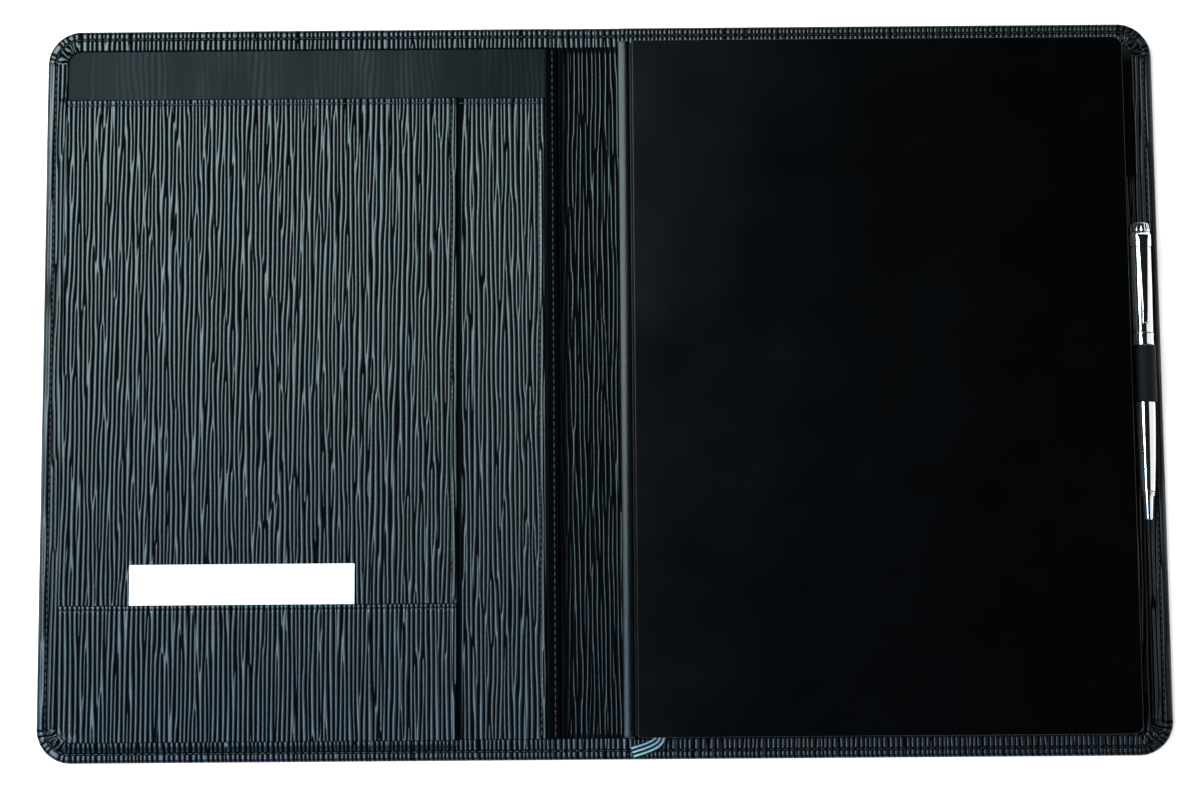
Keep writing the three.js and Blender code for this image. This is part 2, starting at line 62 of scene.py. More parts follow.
# %% [markdown]
# The photograph looks straight down on the cover from about a metre, with the camera leaning a
# few degrees back. Its lens, lean and turn were fitted to the cover's corners.

# %% Camera
def show(name, data):
    """A new object in the scene."""
    made = bpy.data.objects.new(name, data)
    bpy.context.scene.collection.objects.link(made)
    return made


LEAN, TURN, AWAY = math.radians(6.1), math.radians(-0.449), 1.0
camera_data = bpy.data.cameras.new("camera")
camera_data.lens = 68.8
camera_data.sensor_width = 36.0
camera_data.shift_x = -0.0018
camera_data.shift_y = -0.0071
camera = show("camera", camera_data)
camera.matrix_world = (
    Matrix.Translation((0.0, -AWAY * math.sin(LEAN), AWAY * math.cos(LEAN)))
    @ Matrix.Rotation(LEAN, 4, "X")
    @ Matrix.Rotation(TURN, 4, "Z")
)
bpy.context.scene.camera = camera
bpy.context.scene.view_settings.view_transform = "Standard"
print("camera", round(camera_data.lens, 2), "mm")

# %% [markdown]
# Shader graphs are written as sums. A small class holds one output socket and turns + - * into
# Math nodes, so that a pattern reads like its formula.

# %% Shader helpers
class Value:
    def __init__(self, net, socket):
        self.net, self.socket = net, socket

    def __add__(self, other):
        return self.net.maths("ADD", self, other)

    def __sub__(self, other):
        return self.net.maths("SUBTRACT", self, other)

    def __rsub__(self, other):
        return self.net.maths("SUBTRACT", other, self)

    def __mul__(self, other):
        return self.net.maths("MULTIPLY", self, other)

    __radd__, __rmul__ = __add__, __mul__


class Net:
    """One material's nodes, with a Principled shader ready to be fed."""

    def __init__(self, name, **constants):
        self.material = bpy.data.materials.new(name)
        self.material.use_nodes = True
        self.tree = self.material.node_tree
        self.shader = self.tree.nodes["Principled BSDF"]
        for socket, value in constants.items():
            self.shader.inputs[socket.replace("_", " ")].default_value = value

    def put(self, socket, value):
        if isinstance(value, Value):
            self.tree.links.new(value.socket, socket)
        else:
            socket.default_value = value

    def node(self, kind, out=0, settings=None, terms=(), **inputs):
        """A node with its settings, and its inputs given in order as terms or by name."""
        made = self.tree.nodes.new("ShaderNode" + kind)
        for key, value in (settings or {}).items():
            setattr(made, key, value)
        for socket, term in zip(made.inputs, terms):
            self.put(socket, term)
        for key, value in inputs.items():
            self.put(made.inputs[key.replace("_", " ")], value)
        return Value(self, made.outputs[out])

    def maths(self, operation, *terms, clamp=False):
        return self.node("Math", 0, {"operation": operation, "use_clamp": clamp}, terms)

    def blend(self, factor, dark, light):
        made = self.tree.nodes.new("ShaderNodeMix")
        made.data_type = "RGBA"
        for index, term in ((0, factor), (6, dark), (7, light)):
            self.put(made.inputs[index], (*term, 1.0) if isinstance(term, tuple) else term)
        return Value(self, made.outputs[2])

    def attribute(self, name):
        return self.node("Attribute", "Fac", {"attribute_name": name})

    def place(self):
        return self.node("TexCoord", "Object")

    def parts(self, vector):
        made = self.tree.nodes.new("ShaderNodeSeparateXYZ")
        self.put(made.inputs[0], vector)
        return [Value(self, socket) for socket in made.outputs]

    def scaled(self, *scale):
        return self.node("VectorMath", 0, {"operation": "MULTIPLY"}, (self.place(), scale))

    def noise(self, vector, scale=1.0, detail=3.0, rough=0.55):
        return self.node("TexNoise", "Fac", Vector=vector, Scale=scale, Detail=detail, Roughness=rough)

    def feed(self, **sockets):
        for key, value in sockets.items():
            self.put(self.shader.inputs[key.replace("_", " ")], value)
        return self.material

    def bump(self, height, distance, strength=1.0):
        self.feed(Normal=self.node("Bump", 0, Height=height, Distance=distance, Strength=strength))


# %% [markdown]
# The cover leather is pressed with long upright ridges about two millimetres apart, and the
# ridges themselves are real shapes in the meshes. The material adds what is finer: pores, slight
# streaks along the ridges, painted shade that darkens the creases, and a coat painted heavier on the ridge
# tops, a painted sheen that makes each ridge look round.

# %% Leather materials
def leather(name, crease, ridge):
    net = Net(name, Specular_IOR_Level=0.03, Coat_Roughness=0.33, Coat_IOR=1.55)
    streak = net.noise(net.scaled(1100.0, 90.0, 1100.0), 1.0, 4.0)
    mottle = net.noise(net.place(), 1300.0, 4.0, 0.65)
    pores = net.noise(net.place(), 4200.0, 2.0, 0.6)
    eased = {"interpolation_type": "SMOOTHSTEP"}
    # Painted shade and sheen: in the creases the colour is darkest and the coat is gone, and on the ridge
    # tops the coat is heaviest.
    sheen_and_crease_shade = net.node("MapRange", 0, eased, Value=net.attribute("ridge"), From_Min=0.43, From_Max=0.98)
    net.feed(
        Base_Color=net.blend(sheen_and_crease_shade, crease, ridge),
        Roughness=0.5 + 0.2 * pores,
        Coat_Weight=net.maths("MULTIPLY", sheen_and_crease_shade, 0.5 + 0.45 * streak + 0.75 * mottle, clamp=True),
    )
    net.bump(pores * 0.4 + mottle * 1.2 + streak * 0.6, 0.00005, 0.8)
    return net.material


# The first colour is the painted shade of the creases, near black. The second is the colour of the ridge
# tops.
HIDE_FINISH = leather("hide", (0.0002, 0.0003, 0.0004), (0.006, 0.010, 0.012))


def smooth_leather(name, tone, rough):
    net = Net(name, Specular_IOR_Level=0.25)
    pebble = net.node("TexVoronoi", "Distance", {"feature": "SMOOTH_F1"}, Vector=net.place(), Scale=1500.0)
    cloud = net.noise(net.place(), 22.0, 3.0)
    fine = net.noise(net.place(), 4200.0, 2.0)
    net.feed(
        Base_Color=net.blend(cloud, tuple(0.7 * c for c in tone), tuple(1.3 * c for c in tone)),
        Roughness=rough + 0.12 * cloud + 0.08 * fine,
    )
    net.bump(pebble + 0.5 * fine, 0.00008, 0.4)
    return net.material


BOOK_FINISH = smooth_leather("book cloth", (0.0005, 0.0006, 0.0008), 0.12)


def fabric(name):
    """Watered lining: a fine weave, with upright wavy bands that catch the light. It is rougher and
    painted dark, as painted shade, along its edge by the spine, and partly towards the middle of the
    cover."""
    net = Net(name, Specular_IOR_Level=0.03)
    x, y = net.parts(net.place())[:2]
    dull = net.attribute("dull")
    sway = net.noise(net.scaled(30.0, 11.0, 1.0), 1.0, 3.0)
    rings = net.maths("SINE", x * 2500.0 + sway * 34.0)
    patch = net.noise(net.scaled(30.0, 5.0, 1.0), 1.4, 3.0)
    broad = net.noise(net.scaled(60.0, 6.0, 1.0), 1.0, 2.0)
    bands = net.maths("MULTIPLY", rings * 0.5 + 0.5, patch * 5.0 - 2.2, clamp=True)
    weft = net.maths("SINE", y * 9500.0)
    warp = net.maths("SINE", x * 14000.0)
    tone = net.blend(bands * 0.7 + broad * 0.4, (0.0105, 0.0098, 0.0090), (0.033, 0.040, 0.039))
    net.feed(
        # Painted shade: where the number read above is high, the colour goes to near black and the weave
        # is also rougher.
        Base_Color=net.blend(dull, tone, (0.0006, 0.0008, 0.001)),
        Roughness=0.44 - 0.16 * bands - 0.06 * broad + 0.05 * weft + 0.45 * dull,
    )
    net.bump(weft * 0.5 + warp * 0.3 + bands * 0.4, 0.00006, 0.6)
    return net.material


LINING_FINISH = fabric("watered lining")


def plain(name, dark, light, rough, scale, distance, stretch=(1.0, 1.0, 1.0), **constants):
    net = Net(name, **constants)
    grain = net.noise(net.scaled(*stretch), scale, 4.0)
    net.feed(Base_Color=net.blend(grain, dark, light), Roughness=rough + 0.15 * grain)
    net.bump(grain, distance, 0.7)
    return net.material


THREAD_FINISH = plain("thread", (0.006, 0.007, 0.008), (0.03, 0.034, 0.037), 0.5, 6000.0, 0.00005)
CARD_FINISH = plain("white card", (0.93, 0.92, 0.92), (0.97, 0.96, 0.96), 0.6, 1800.0, 0.00003)
BOARD_FINISH = plain("grey board", (0.19, 0.17, 0.14), (0.30, 0.27, 0.23), 0.8, 900.0, 0.0001)
BRASS_FINISH = plain("brass", (0.55, 0.40, 0.16), (0.66, 0.50, 0.22), 0.25, 900.0, 0.00002, Metallic=1.0)
STEEL_FINISH = plain("refill", (0.42, 0.44, 0.46), (0.55, 0.57, 0.6), 0.25, 900.0, 0.00002, Metallic=1.0)
PAPER_FINISH = plain(
    "page edges", (0.58, 0.52, 0.45), (0.88, 0.80, 0.73), 0.75, 1.0, 0.00008, (0.3, 0.3, 7000.0)
)
CHROME_FINISH = plain(
    "chrome", (0.80, 0.81, 0.82), (0.86, 0.87, 0.88), 0.03, 60.0, 0.000002, Metallic=1.0
)
print("materials", len(bpy.data.materials))

# %% [markdown]
# Meshes are made from arrays of points and faces. A piece may carry a number at each point, such
# as how high on a ridge it lies, which its material reads.

# %% Mesh helpers
def make(name, points, faces, finish, body, slot, node=None, **values):
    """A piece, on a body if one is given, which shows in place of a node if one is named. faces
    is a list of arrays, and the faces of one array have the same number of corners."""
    mesh = bpy.data.meshes.new(name)
    points = np.asarray(points, float).reshape(-1, 3) * MM
    mesh.vertices.add(len(points))
    mesh.vertices.foreach_set("co", points.ravel())
    faces = [np.atleast_2d(np.asarray(f, int)) for f in faces]
    sizes = np.concatenate([np.full(len(f), f.shape[1]) for f in faces])
    mesh.loops.add(int(sizes.sum()))
    mesh.loops.foreach_set("vertex_index", np.concatenate([f.ravel() for f in faces]))
    mesh.polygons.add(len(sizes))
    mesh.polygons.foreach_set("loop_start", np.concatenate([[0], np.cumsum(sizes)[:-1]]))
    mesh.update(calc_edges=True)
    mesh.validate()
    for key, numbers in values.items():
        layer = mesh.attributes.new(key, "FLOAT", "POINT")
        layer.data.foreach_set("value", np.asarray(numbers, float).ravel())
    mesh.shade_smooth()
    mesh.materials.append(finish)
    made = show(name, mesh)
    if body:
        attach(made, body)
    if node:
        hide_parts(node)
    print(name, len(mesh.polygons), "faces")
    return made


def lattice(rows, columns, first=0, wrap=False):
    """Faces of a grid of rows by columns, which closes on itself along the columns if wrapped."""
    across = columns if wrap else columns - 1
    r, c = np.meshgrid(np.arange(rows - 1), np.arange(across), indexing="ij")
    nxt = (c + 1) % columns
    a, b = r * columns + c, r * columns + nxt
    return np.stack([a, b, b + columns, a + columns], -1).reshape(-1, 4) + first


def skin(name, rings, *rest, **values):
    """A piece that is a skin over rings of points, with closed ends. The rest goes to make."""
    rings = np.asarray(rings)
    count, corners = rings.shape[:2]
    near = np.arange(corners)[::-1][None]
    far = (count - 1) * corners + np.arange(corners)[None]
    return make(name, rings, [lattice(count, corners, wrap=True), near, far], *rest, **values)


def ramp(value, low, high):
    t = np.clip((value - low) / (high - low), 0.0, 1.0)
    return t * t * (3 - 2 * t)


def groove(value, middle, width):
    """A bell of height 1, for seams and pressed lines."""
    return np.exp(-(((value - middle) / width) ** 2))


def rounding(share, least=0.0):
    """A quarter round: 1 up to share 0, and down to least at share 1."""
    return np.sqrt(np.clip(1 - np.clip(share, 0, 1) ** 2, least, 1))


def full_turn(corners):
    return np.linspace(0, 2 * np.pi, corners + 1)[:-1]


def unit(vectors):
    return vectors / np.linalg.norm(vectors, axis=1, keepdims=True)


def steps(low, high, step, extra=()):
    """Evenly spaced places from low to high, with some extra ones."""
    even = np.linspace(low, high, int(round((high - low) / step)) + 1)
    inside = [e for e in extra if low < e < high]
    return np.unique(np.concatenate([even, inside]).round(4))


def rim_of(rows, columns):
    """The border of a grid of points, once round."""
    low, high = np.arange(columns), (rows - 1) * columns + np.arange(columns - 2, -1, -1)
    up, down = np.arange(1, rows) * columns + columns - 1, np.arange(rows - 2, 0, -1) * columns
    return np.concatenate([low, up, high, down])


def with_lid(x, y, z, level):
    """A grid of points as the face of a closed sheet whose other side is flat, at one level."""
    points = np.stack([x, y, z], -1).reshape(-1, 3)
    edge = rim_of(*x.shape)
    lid = points[edge]
    lid[:, 2] = level
    ring = len(points) + np.arange(len(edge))
    sides = np.stack([edge, ring, np.roll(ring, -1), np.roll(edge, -1)], -1)
    return np.concatenate([points, lid]), [lattice(*x.shape), sides, ring[::-1][None]]


def padded(numbers, points):
    """Numbers for a face's points, with nothing for the points of its lid."""
    return np.append(numbers.ravel(), np.zeros(len(points) - numbers.size))


# %% [markdown]
# The grain is a sum of many waves that all run nearly across the cover. Where the sum passes
# through nothing, one ridge splits in two, as in the pressed hide. A fixed seed keeps it the same.

# %% Grain
RIDGE, PITCH, RUN, WAVES = 0.42, 2.0, 84.0, 48


class Grain:
    """Upright ridges of one pitch, which run on for about one length before they end."""

    def __init__(self, seed):
        chance = np.random.default_rng(seed)
        self.across = chance.normal(1 / PITCH, 0.19 / PITCH, WAVES)
        self.along = chance.normal(0.0, 1 / RUN, WAVES)
        self.start = chance.uniform(0.0, 2 * np.pi, WAVES)
        self.size = chance.rayleigh(1.0, WAVES) / math.sqrt(WAVES)

    def __call__(self, x, y):
        """How high the hide stands at each place: 0 in a crease, 1 on top of a ridge."""
        x, y = np.broadcast_arrays(np.asarray(x, float), np.asarray(y, float))
        total = np.zeros(x.shape, complex)
        for across, along, start, size in zip(self.across, self.along, self.start, self.size):
            total += size * np.exp(1j * (2 * np.pi * (across * x + along * y) + start))
        crest = (total.real - 0.03) / (np.abs(total) + 0.03)
        away = np.arccos(np.clip(1.08 * crest - 0.04, -1, 1)) / np.pi
        return 1 - away**2.2


cover_grain, pocket_grain, rear_grain = Grain(11), Grain(23), Grain(37)
card_grain, spine_grain, right_grain = Grain(50), Grain(53), Grain(67)
print("grain", cover_grain(0.0, 0.0).round(3))

# %% [markdown]
# Pockets are single panels of hide, cut with the ridges upright. Each is a closed sheet: its face
# is a fine grid across the ridges and a coarse one along them, and its edges roll down.

# %% Pocket panels
POCKET_TOP, CARD_TOP, REAR_RIGHT, FRONT_RIGHT = 128.8, -92.7, -24.5, -62.9
TUCK, INNER_CORNER = 0.2, 6.0
PANEL_START, PANEL_FOOT = -INNER_X - TUCK, -INNER_Y - TUCK
EDGE_ROLLS = (0.3, 0.5, 0.3, 0.6)
FRONT_FACE, REAR_FACE, CARD_FACE, THICK, CARD_THICK = 5.1, 4.1, 6.7, 0.95, 1.55
HEM_FLAT, HEM_SEAM = 1.7, 2.4
HEM_ROWS = np.array([1.2, 1.5, 1.8, 2.1, 2.4, 2.7, 3.0, 3.6])


def panel(name, grain, left, right, ys, top, thick, lift, node, left_at=None, pressed=None):
    """A panel whose edges roll down. lift gives its hems, left_at a left edge that isn't straight,
    and pressed the place where another panel's edge lies on this one: it flattens the ridges there, and
    beside that edge the panel is painted dark, a painted shadow of the edge."""
    ends = [0.0, 0.12, 0.3, 0.6, 1.0]
    xs = steps(left, right, 0.23, [left + e for e in ends] + [right - e for e in ends])
    ys = np.unique(np.concatenate([ys, ys[0] + ends, ys[-1] - np.array(ends)]).round(4))
    share, y = np.meshgrid((xs - left) / (right - left), ys)
    from_x = left_at(y) if left_at else left
    x = left + share * (right - left) + (from_x - left) * (1 - share) ** 14
    ridge = grain(x, y)
    # Painted shadow: beside the other panel's edge the ridge value is brought to nothing, which flattens
    # the face there and also paints it dark.
    if pressed is not None:
        ridge = ridge * ramp(x, pressed + 0.5, pressed + 2.9)
    fall = np.zeros(x.shape)
    for roll, away in zip(EDGE_ROLLS, (x - from_x, right - x, y - ys[0], ys[-1] - y)):
        fall = np.maximum(fall, 1 - rounding(1 - away / roll))
    extra, keep = lift(x, y)
    face = top - RIDGE * (1 - ridge) * keep + extra
    low = round(top - thick, 4)
    foot = low + 0.1
    points, faces = with_lid(x, y, foot + (face - foot) * (1 - fall), low)
    shade = padded(ridge, points)
    make(name, points, faces, HIDE_FINISH, "left_cover", "grained_leather", node, ridge=shade)


def hem(*edges):
    """A turned edge: flatter near it, with a shallow groove where it is sewn."""

    def lift(x, y):
        extra, keep = 0.0, 1.0
        for axis, at in edges:
            away = at - (x if axis == "x" else y)
            extra = extra + 0.18 * (1 - ramp(away, HEM_FLAT - 0.5, HEM_FLAT + 0.3))
            extra = extra - 0.22 * groove(away, HEM_SEAM, 0.35)
            keep = keep * (0.45 + 0.55 * ramp(away, 0.6, HEM_FLAT + 1.2))
        return extra, keep

    return lift


def corner_left(y):
    """Left edge of the pockets, which follows the round inner corner of the border."""
    inner = np.clip(INNER_CORNER - INNER_Y - y, 0.0, INNER_CORNER - 0.1)
    return PANEL_START + INNER_CORNER - np.sqrt(INNER_CORNER**2 - inner**2)


def card_lift(x, y):
    """The card swells its pocket a little, so the panel is fullest over the card."""
    extra, keep = hem(("y", CARD_TOP), ("x", FRONT_RIGHT))(x, y)
    over = ramp(x, -232.0, -200.0) * (1 - ramp(x, -110.0, -66.0)) * ramp(y, -156.0, -112.0)
    return extra - 0.6 * (1 - over), keep


long_rows = steps(PANEL_FOOT, POCKET_TOP, 2.8, POCKET_TOP - HEM_ROWS)
card_rows = steps(PANEL_FOOT, CARD_TOP, 2.4, CARD_TOP - HEM_ROWS)
panel(
    "front_pocket_hide", pocket_grain, PANEL_START, FRONT_RIGHT, long_rows, FRONT_FACE, THICK,
    hem(("y", POCKET_TOP), ("x", FRONT_RIGHT)), "front_pocket", left_at=corner_left,
)
panel(
    "rear_pocket_hide", rear_grain, FRONT_RIGHT - 12.0, REAR_RIGHT, long_rows, REAR_FACE, THICK,
    hem(("y", POCKET_TOP), ("x", REAR_RIGHT)), "rear_pocket", pressed=FRONT_RIGHT,
)
panel(
    "card_pocket_hide", card_grain, PANEL_START, FRONT_RIGHT - 0.2, card_rows, CARD_FACE, CARD_THICK,
    card_lift, "card_pocket", left_at=corner_left,
)

# %% [markdown]
# The cover's outer hide is turned in over its edge and sewn down as a border nine millimetres
# wide. It is swept round the outline: along the top and the bottom the ridges cross it, at the
# sides they run along it, and at the round corners the leather is gathered in pleats.

# %% Turned border
SEAM, ROLL, PANEL_HIGH = 4.0, 2.0, 91.8
lip_part, sewn_part = np.arange(8.4, 5.1, -0.3), np.arange(4.9, 3.0, -0.25)
top_part = np.concatenate([[9.35, 9.3, 9.15, 8.95, 8.7], lip_part, sewn_part, [2.7, 2.4, 2.1]])
roll_part = np.radians(np.linspace(84, -84, 11))
under_part = np.array([2.1, 2.5, 3.0, 3.5, 3.8, 4.0, 4.3, 4.8])


def border_section(x, y, nx, ny, pleat, swell):
    """Sections across the border at outline places x, y with inward normals nx, ny. pleat runs
    from 0 to 1 round a corner and is below 0 elsewhere."""
    numbers = np.broadcast_arrays(x, y, nx, ny, pleat, swell)
    x, y, nx, ny, pleat, swell = (column[:, None] for column in numbers)
    inset = np.concatenate([top_part, ROLL - ROLL * np.cos(roll_part), under_part])
    level, turned = np.full(len(top_part), np.pi / 2), np.full(len(under_part), -np.pi / 2)
    turn = np.concatenate([level, roll_part, turned])
    travel = np.concatenate([top_part + 1.1, ROLL * (roll_part + np.pi / 2) - 2.0, -under_part])
    hide_x, hide_y = x - nx * travel, y - ny * travel
    ridge = cover_grain(hide_x, hide_y)
    fan_weight = (pleat >= 0) * 1.0
    wander = 0.3 * np.sin(pleat * 9.3) + 0.22 * np.sin(travel * 0.9 + pleat * 17.0)
    fold = 1 - np.abs(((pleat * 7.0 + wander) % 1.0) * 2 - 1) ** 2.2
    ridge = np.where(fan_weight > 0, fold, ridge)
    smooth = (1 - ramp(inset, 3.0, 3.6)) * (0.25 + 0.4 * np.abs(nx)) * (1 - fan_weight)
    ridge = ridge + (0.85 - ridge) * smooth
    is_top = (np.arange(len(inset)) < len(top_part)) * 1.0
    z = BORDER_TOP / 2 * (1 + np.sin(turn)) + swell * ramp(inset, 4.2, 8.0) * is_top
    depth = RIDGE * (1 - ridge) * (1 + fan_weight * (1.5 * ramp(inset, 3.5, 8.0) - 0.2))
    depth = depth * (1 - 0.35 * groove(inset, SEAM, 0.6))
    depth = depth * (1 - 0.65 * np.cos(turn) ** 2)
    down = depth + 0.5 * groove(inset, SEAM, 0.42) * (is_top + (turn == -np.pi / 2))
    z = z - down * np.sin(turn)
    inset_now = inset + down * np.cos(turn)
    floor_level = LINING_TOP - 0.25 + swell
    lip = floor_level + (z - floor_level) * rounding((inset - 8.7) / 0.65)
    z = np.where(is_top * (inset > 8.65) > 0, lip, z)
    px, py = x + nx * inset_now, y + ny * inset_now
    # Painted shade: the value that the material reads is lowered along the sewn groove on the face, so the
    # groove is painted darker.
    shade = ridge * (1 - 0.8 * groove(inset, SEAM, 0.45) * is_top)
    return np.stack([px, py, np.broadcast_to(z, px.shape)], -1), shade


def cover_outline(start):
    """Outline of the right cover from its lower spine end round to the upper one: places, inward
    normals, and how far round a corner each place is."""
    run = steps(start, STRAIGHT_X, 0.3)
    beside_ends = [POCKET_TOP + e for e in range(-4, 3)] + [PANEL_HIGH + e for e in (-1.2, 0.0, 1.2)]
    rise = steps(-STRAIGHT_Y, STRAIGHT_Y, 2.6, beside_ends)
    bend = np.linspace(0, 1, 42)[1:-1]
    sin, cos = np.sin(bend * np.pi / 2), np.cos(bend * np.pi / 2)
    parts = [
        (run, -HALF_HEIGHT, 0.0, 1.0, -1.0),
        (STRAIGHT_X + CORNER * sin, -STRAIGHT_Y - CORNER * cos, -sin, cos, bend),
        (HALF_WIDTH, rise, -1.0, 0.0, -1.0),
        (STRAIGHT_X + CORNER * cos, STRAIGHT_Y + CORNER * sin, -cos, -sin, bend),
        (run[::-1], HALF_HEIGHT, 0.0, -1.0, -1.0),
    ]
    return [np.concatenate(column) for column in zip(*(np.broadcast_arrays(*part) for part in parts))]


def swell_left(x, y):
    """Height that the pockets under the border add: more where more panels lie there."""
    beside = (x < -INNER_X - 2) * (1 - ramp(y, POCKET_TOP - 1.5, POCKET_TOP + 1.5))
    on_rear = 1 - ramp(x, REAR_RIGHT - 2, REAR_RIGHT + 2)
    on_front = 1 - ramp(x, FRONT_RIGHT - 2, FRONT_RIGHT + 2)
    return np.maximum(0.95 * beside, (y < -INNER_Y - 2) * (0.45 * on_rear + 0.5 * on_front))


def swell_right(x, y):
    """The same for the flange of the right pocket."""
    return 0.35 * (x > INNER_X + 2) * (1 - ramp(y, PANEL_HIGH - 1.8, PANEL_HIGH + 1.2))


def border(name, side, start, body, node):
    x, y, nx, ny, pleat = cover_outline(start)
    x, nx = side * x, side * nx
    swell = swell_left(x, y) if side < 0 else swell_right(x, y)
    rings, ridge = border_section(x, y, nx, ny, pleat, swell)
    if side > 0:
        rings, ridge = rings[:, ::-1], ridge[:, ::-1]
    skin(name, rings, HIDE_FINISH, body, "grained_leather", node, ridge=ridge)


border("left_border_hide", -1, LEFT_START, "left_cover", "left_outer_leather")
border("right_border_hide", 1, RIGHT_START, "right_cover", "right_outer_leather")

# %% [markdown]
# Under the boards the same hide lies flat, with its ridges downwards, on the table.

# %% Outer hide
def corner_rows(inset, radius, angles):
    """Rows across a cover that is drawn in by an inset, closer together at its round corners."""
    extra = [s * (STRAIGHT_Y + radius * math.sin(a)) for s in (-1, 1) for a in angles]
    return steps(inset - HALF_HEIGHT, HALF_HEIGHT - inset, 4.0, extra)


def outer_hide(name, side, start, body):
    inset, width, edge = 4.2, 220.0, 0.4
    radius = CORNER - inset
    share = steps(0.0, 1.0, 0.45 / (HALF_WIDTH - start), [edge / width, 1 - edge / width])
    share, y = np.meshgrid(share, corner_rows(inset, radius, np.linspace(0.2, 1.5, 7)))
    past = np.clip(np.abs(y) - STRAIGHT_Y, 0, radius)
    reach = STRAIGHT_X + np.sqrt(np.clip(radius**2 - past**2, 0, None))
    x = side * (start + share * (reach - start))
    ridge = cover_grain(x, y)
    rim = np.minimum(np.minimum(1 - share, share) * width, HALF_HEIGHT - inset - np.abs(y))
    z = RIDGE * (1 - ridge) + edge * (1 - ramp(rim, 0.05, edge))
    points, faces = with_lid(x, y, z, HIDE)
    if side > 0:
        faces = [f[:, ::-1] for f in faces]
    make(name, points, faces, HIDE_FINISH, body, "grained_leather", ridge=padded(ridge, points))


outer_hide("left_back_hide", -1, LEFT_START, "left_cover")
outer_hide("right_back_hide", 1, RIGHT_START, "right_cover")

# %% [markdown]
# The spine is the same hide with a narrower strip sewn inside. It is made in two halves, since
# each half bends at one crease only: the left half to the left cover, the right half to the right.

# %% Spine
STRIP_LEFT, STRIP_RIGHT = -18.9, 9.0
LAP, LEFT_BEND, RIGHT_BEND, BEND_REACH = 0.4, -19.0, 6.0, 3.5
LEFT_END, RIGHT_END = -LEFT_START - LAP, RIGHT_START + LAP


def spine_thickness(x):
    """The spine is thinner than the covers, which hold boards, and thickens towards them."""
    from_left = ramp(x, -LEFT_START - 1.0, -LEFT_START + 3.5)
    from_right = 1 - ramp(x, RIGHT_START - 3.5, RIGHT_START + 1.0)
    return BORDER_TOP - 0.6 * np.minimum(from_left, from_right)


def bend_line(first, last):
    """Where a bend of the hide starts and ends, as places on its inner side, in metres."""
    return [(round(x * MM, 4), 0, HIDE * MM) for x in (first, last)]


def spine_half(name, low_x, high_x, other, start, end, node):
    xs = steps(low_x, high_x, 0.3)
    upper, ridge_upper = border_section(xs, HALF_HEIGHT, 0.0, -1.0, -1.0, 0.0)
    lower, ridge_lower = border_section(xs, -HALF_HEIGHT, 0.0, 1.0, -1.0, 0.0)
    for part in (upper, lower):
        part[:, :, 2] *= (spine_thickness(xs) / BORDER_TOP)[:, None]
    ys = steps(-INNER_Y + 0.4, INNER_Y - 0.4, 2.6)
    x, y = np.meshgrid(xs, ys, indexing="ij")
    ridge_top = spine_grain(x, y) ** 7
    bare_left = ramp(x, STRIP_LEFT, STRIP_LEFT + 0.6)
    bare = np.minimum(bare_left, 1 - ramp(x, STRIP_RIGHT - 0.4, STRIP_RIGHT))
    level = HIDE + (STRIP_TOP + 0.45 - HIDE) * bare
    strip = np.stack([x, y, level - RIDGE * (1 - ridge_top) * bare], -1)
    ridge_low = cover_grain(x, y)[:, ::-1]
    under = np.stack([x, y[:, ::-1], RIDGE * (1 - ridge_low)], -1)
    rings = np.concatenate([strip, upper, under, lower[:, ::-1]], 1)
    # Painted shade: the strip's ridges are painted darker towards its left edge, by the lining, without
    # any change to their shape.
    strip_edge_shade = 0.5 + 0.5 * ramp(x, -18.0, -11.5)
    ridge = np.concatenate([ridge_top * strip_edge_shade, ridge_upper, ridge_low, ridge_lower[:, ::-1]], 1)
    made = skin(name, rings, HIDE_FINISH, None, "spine_leather", node, ridge=ridge)
    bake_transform(made)


LEFT_BLEND = bend_line(LEFT_BEND + BEND_REACH, LEFT_BEND - BEND_REACH)
RIGHT_BLEND = bend_line(RIGHT_BEND - BEND_REACH, RIGHT_BEND + BEND_REACH)
spine_half("spine_left_hide", LEFT_END, SPINE_MIDDLE, "left_cover", *LEFT_BLEND, "spine_leather")
spine_half("spine_right_hide", SPINE_MIDDLE, RIGHT_END, "right_cover", *RIGHT_BLEND, "spine_strip")

# %% [markdown]
# The covers are lined with a watered fabric, glued flat on the boards, so it is a stretched sheet.
# At the spine its edge is sewn down beside the strip.

# %% Linings
LEFT_LINED, RIGHT_LINED, LINING_SEAM = 19.25, 9.1, -21.0


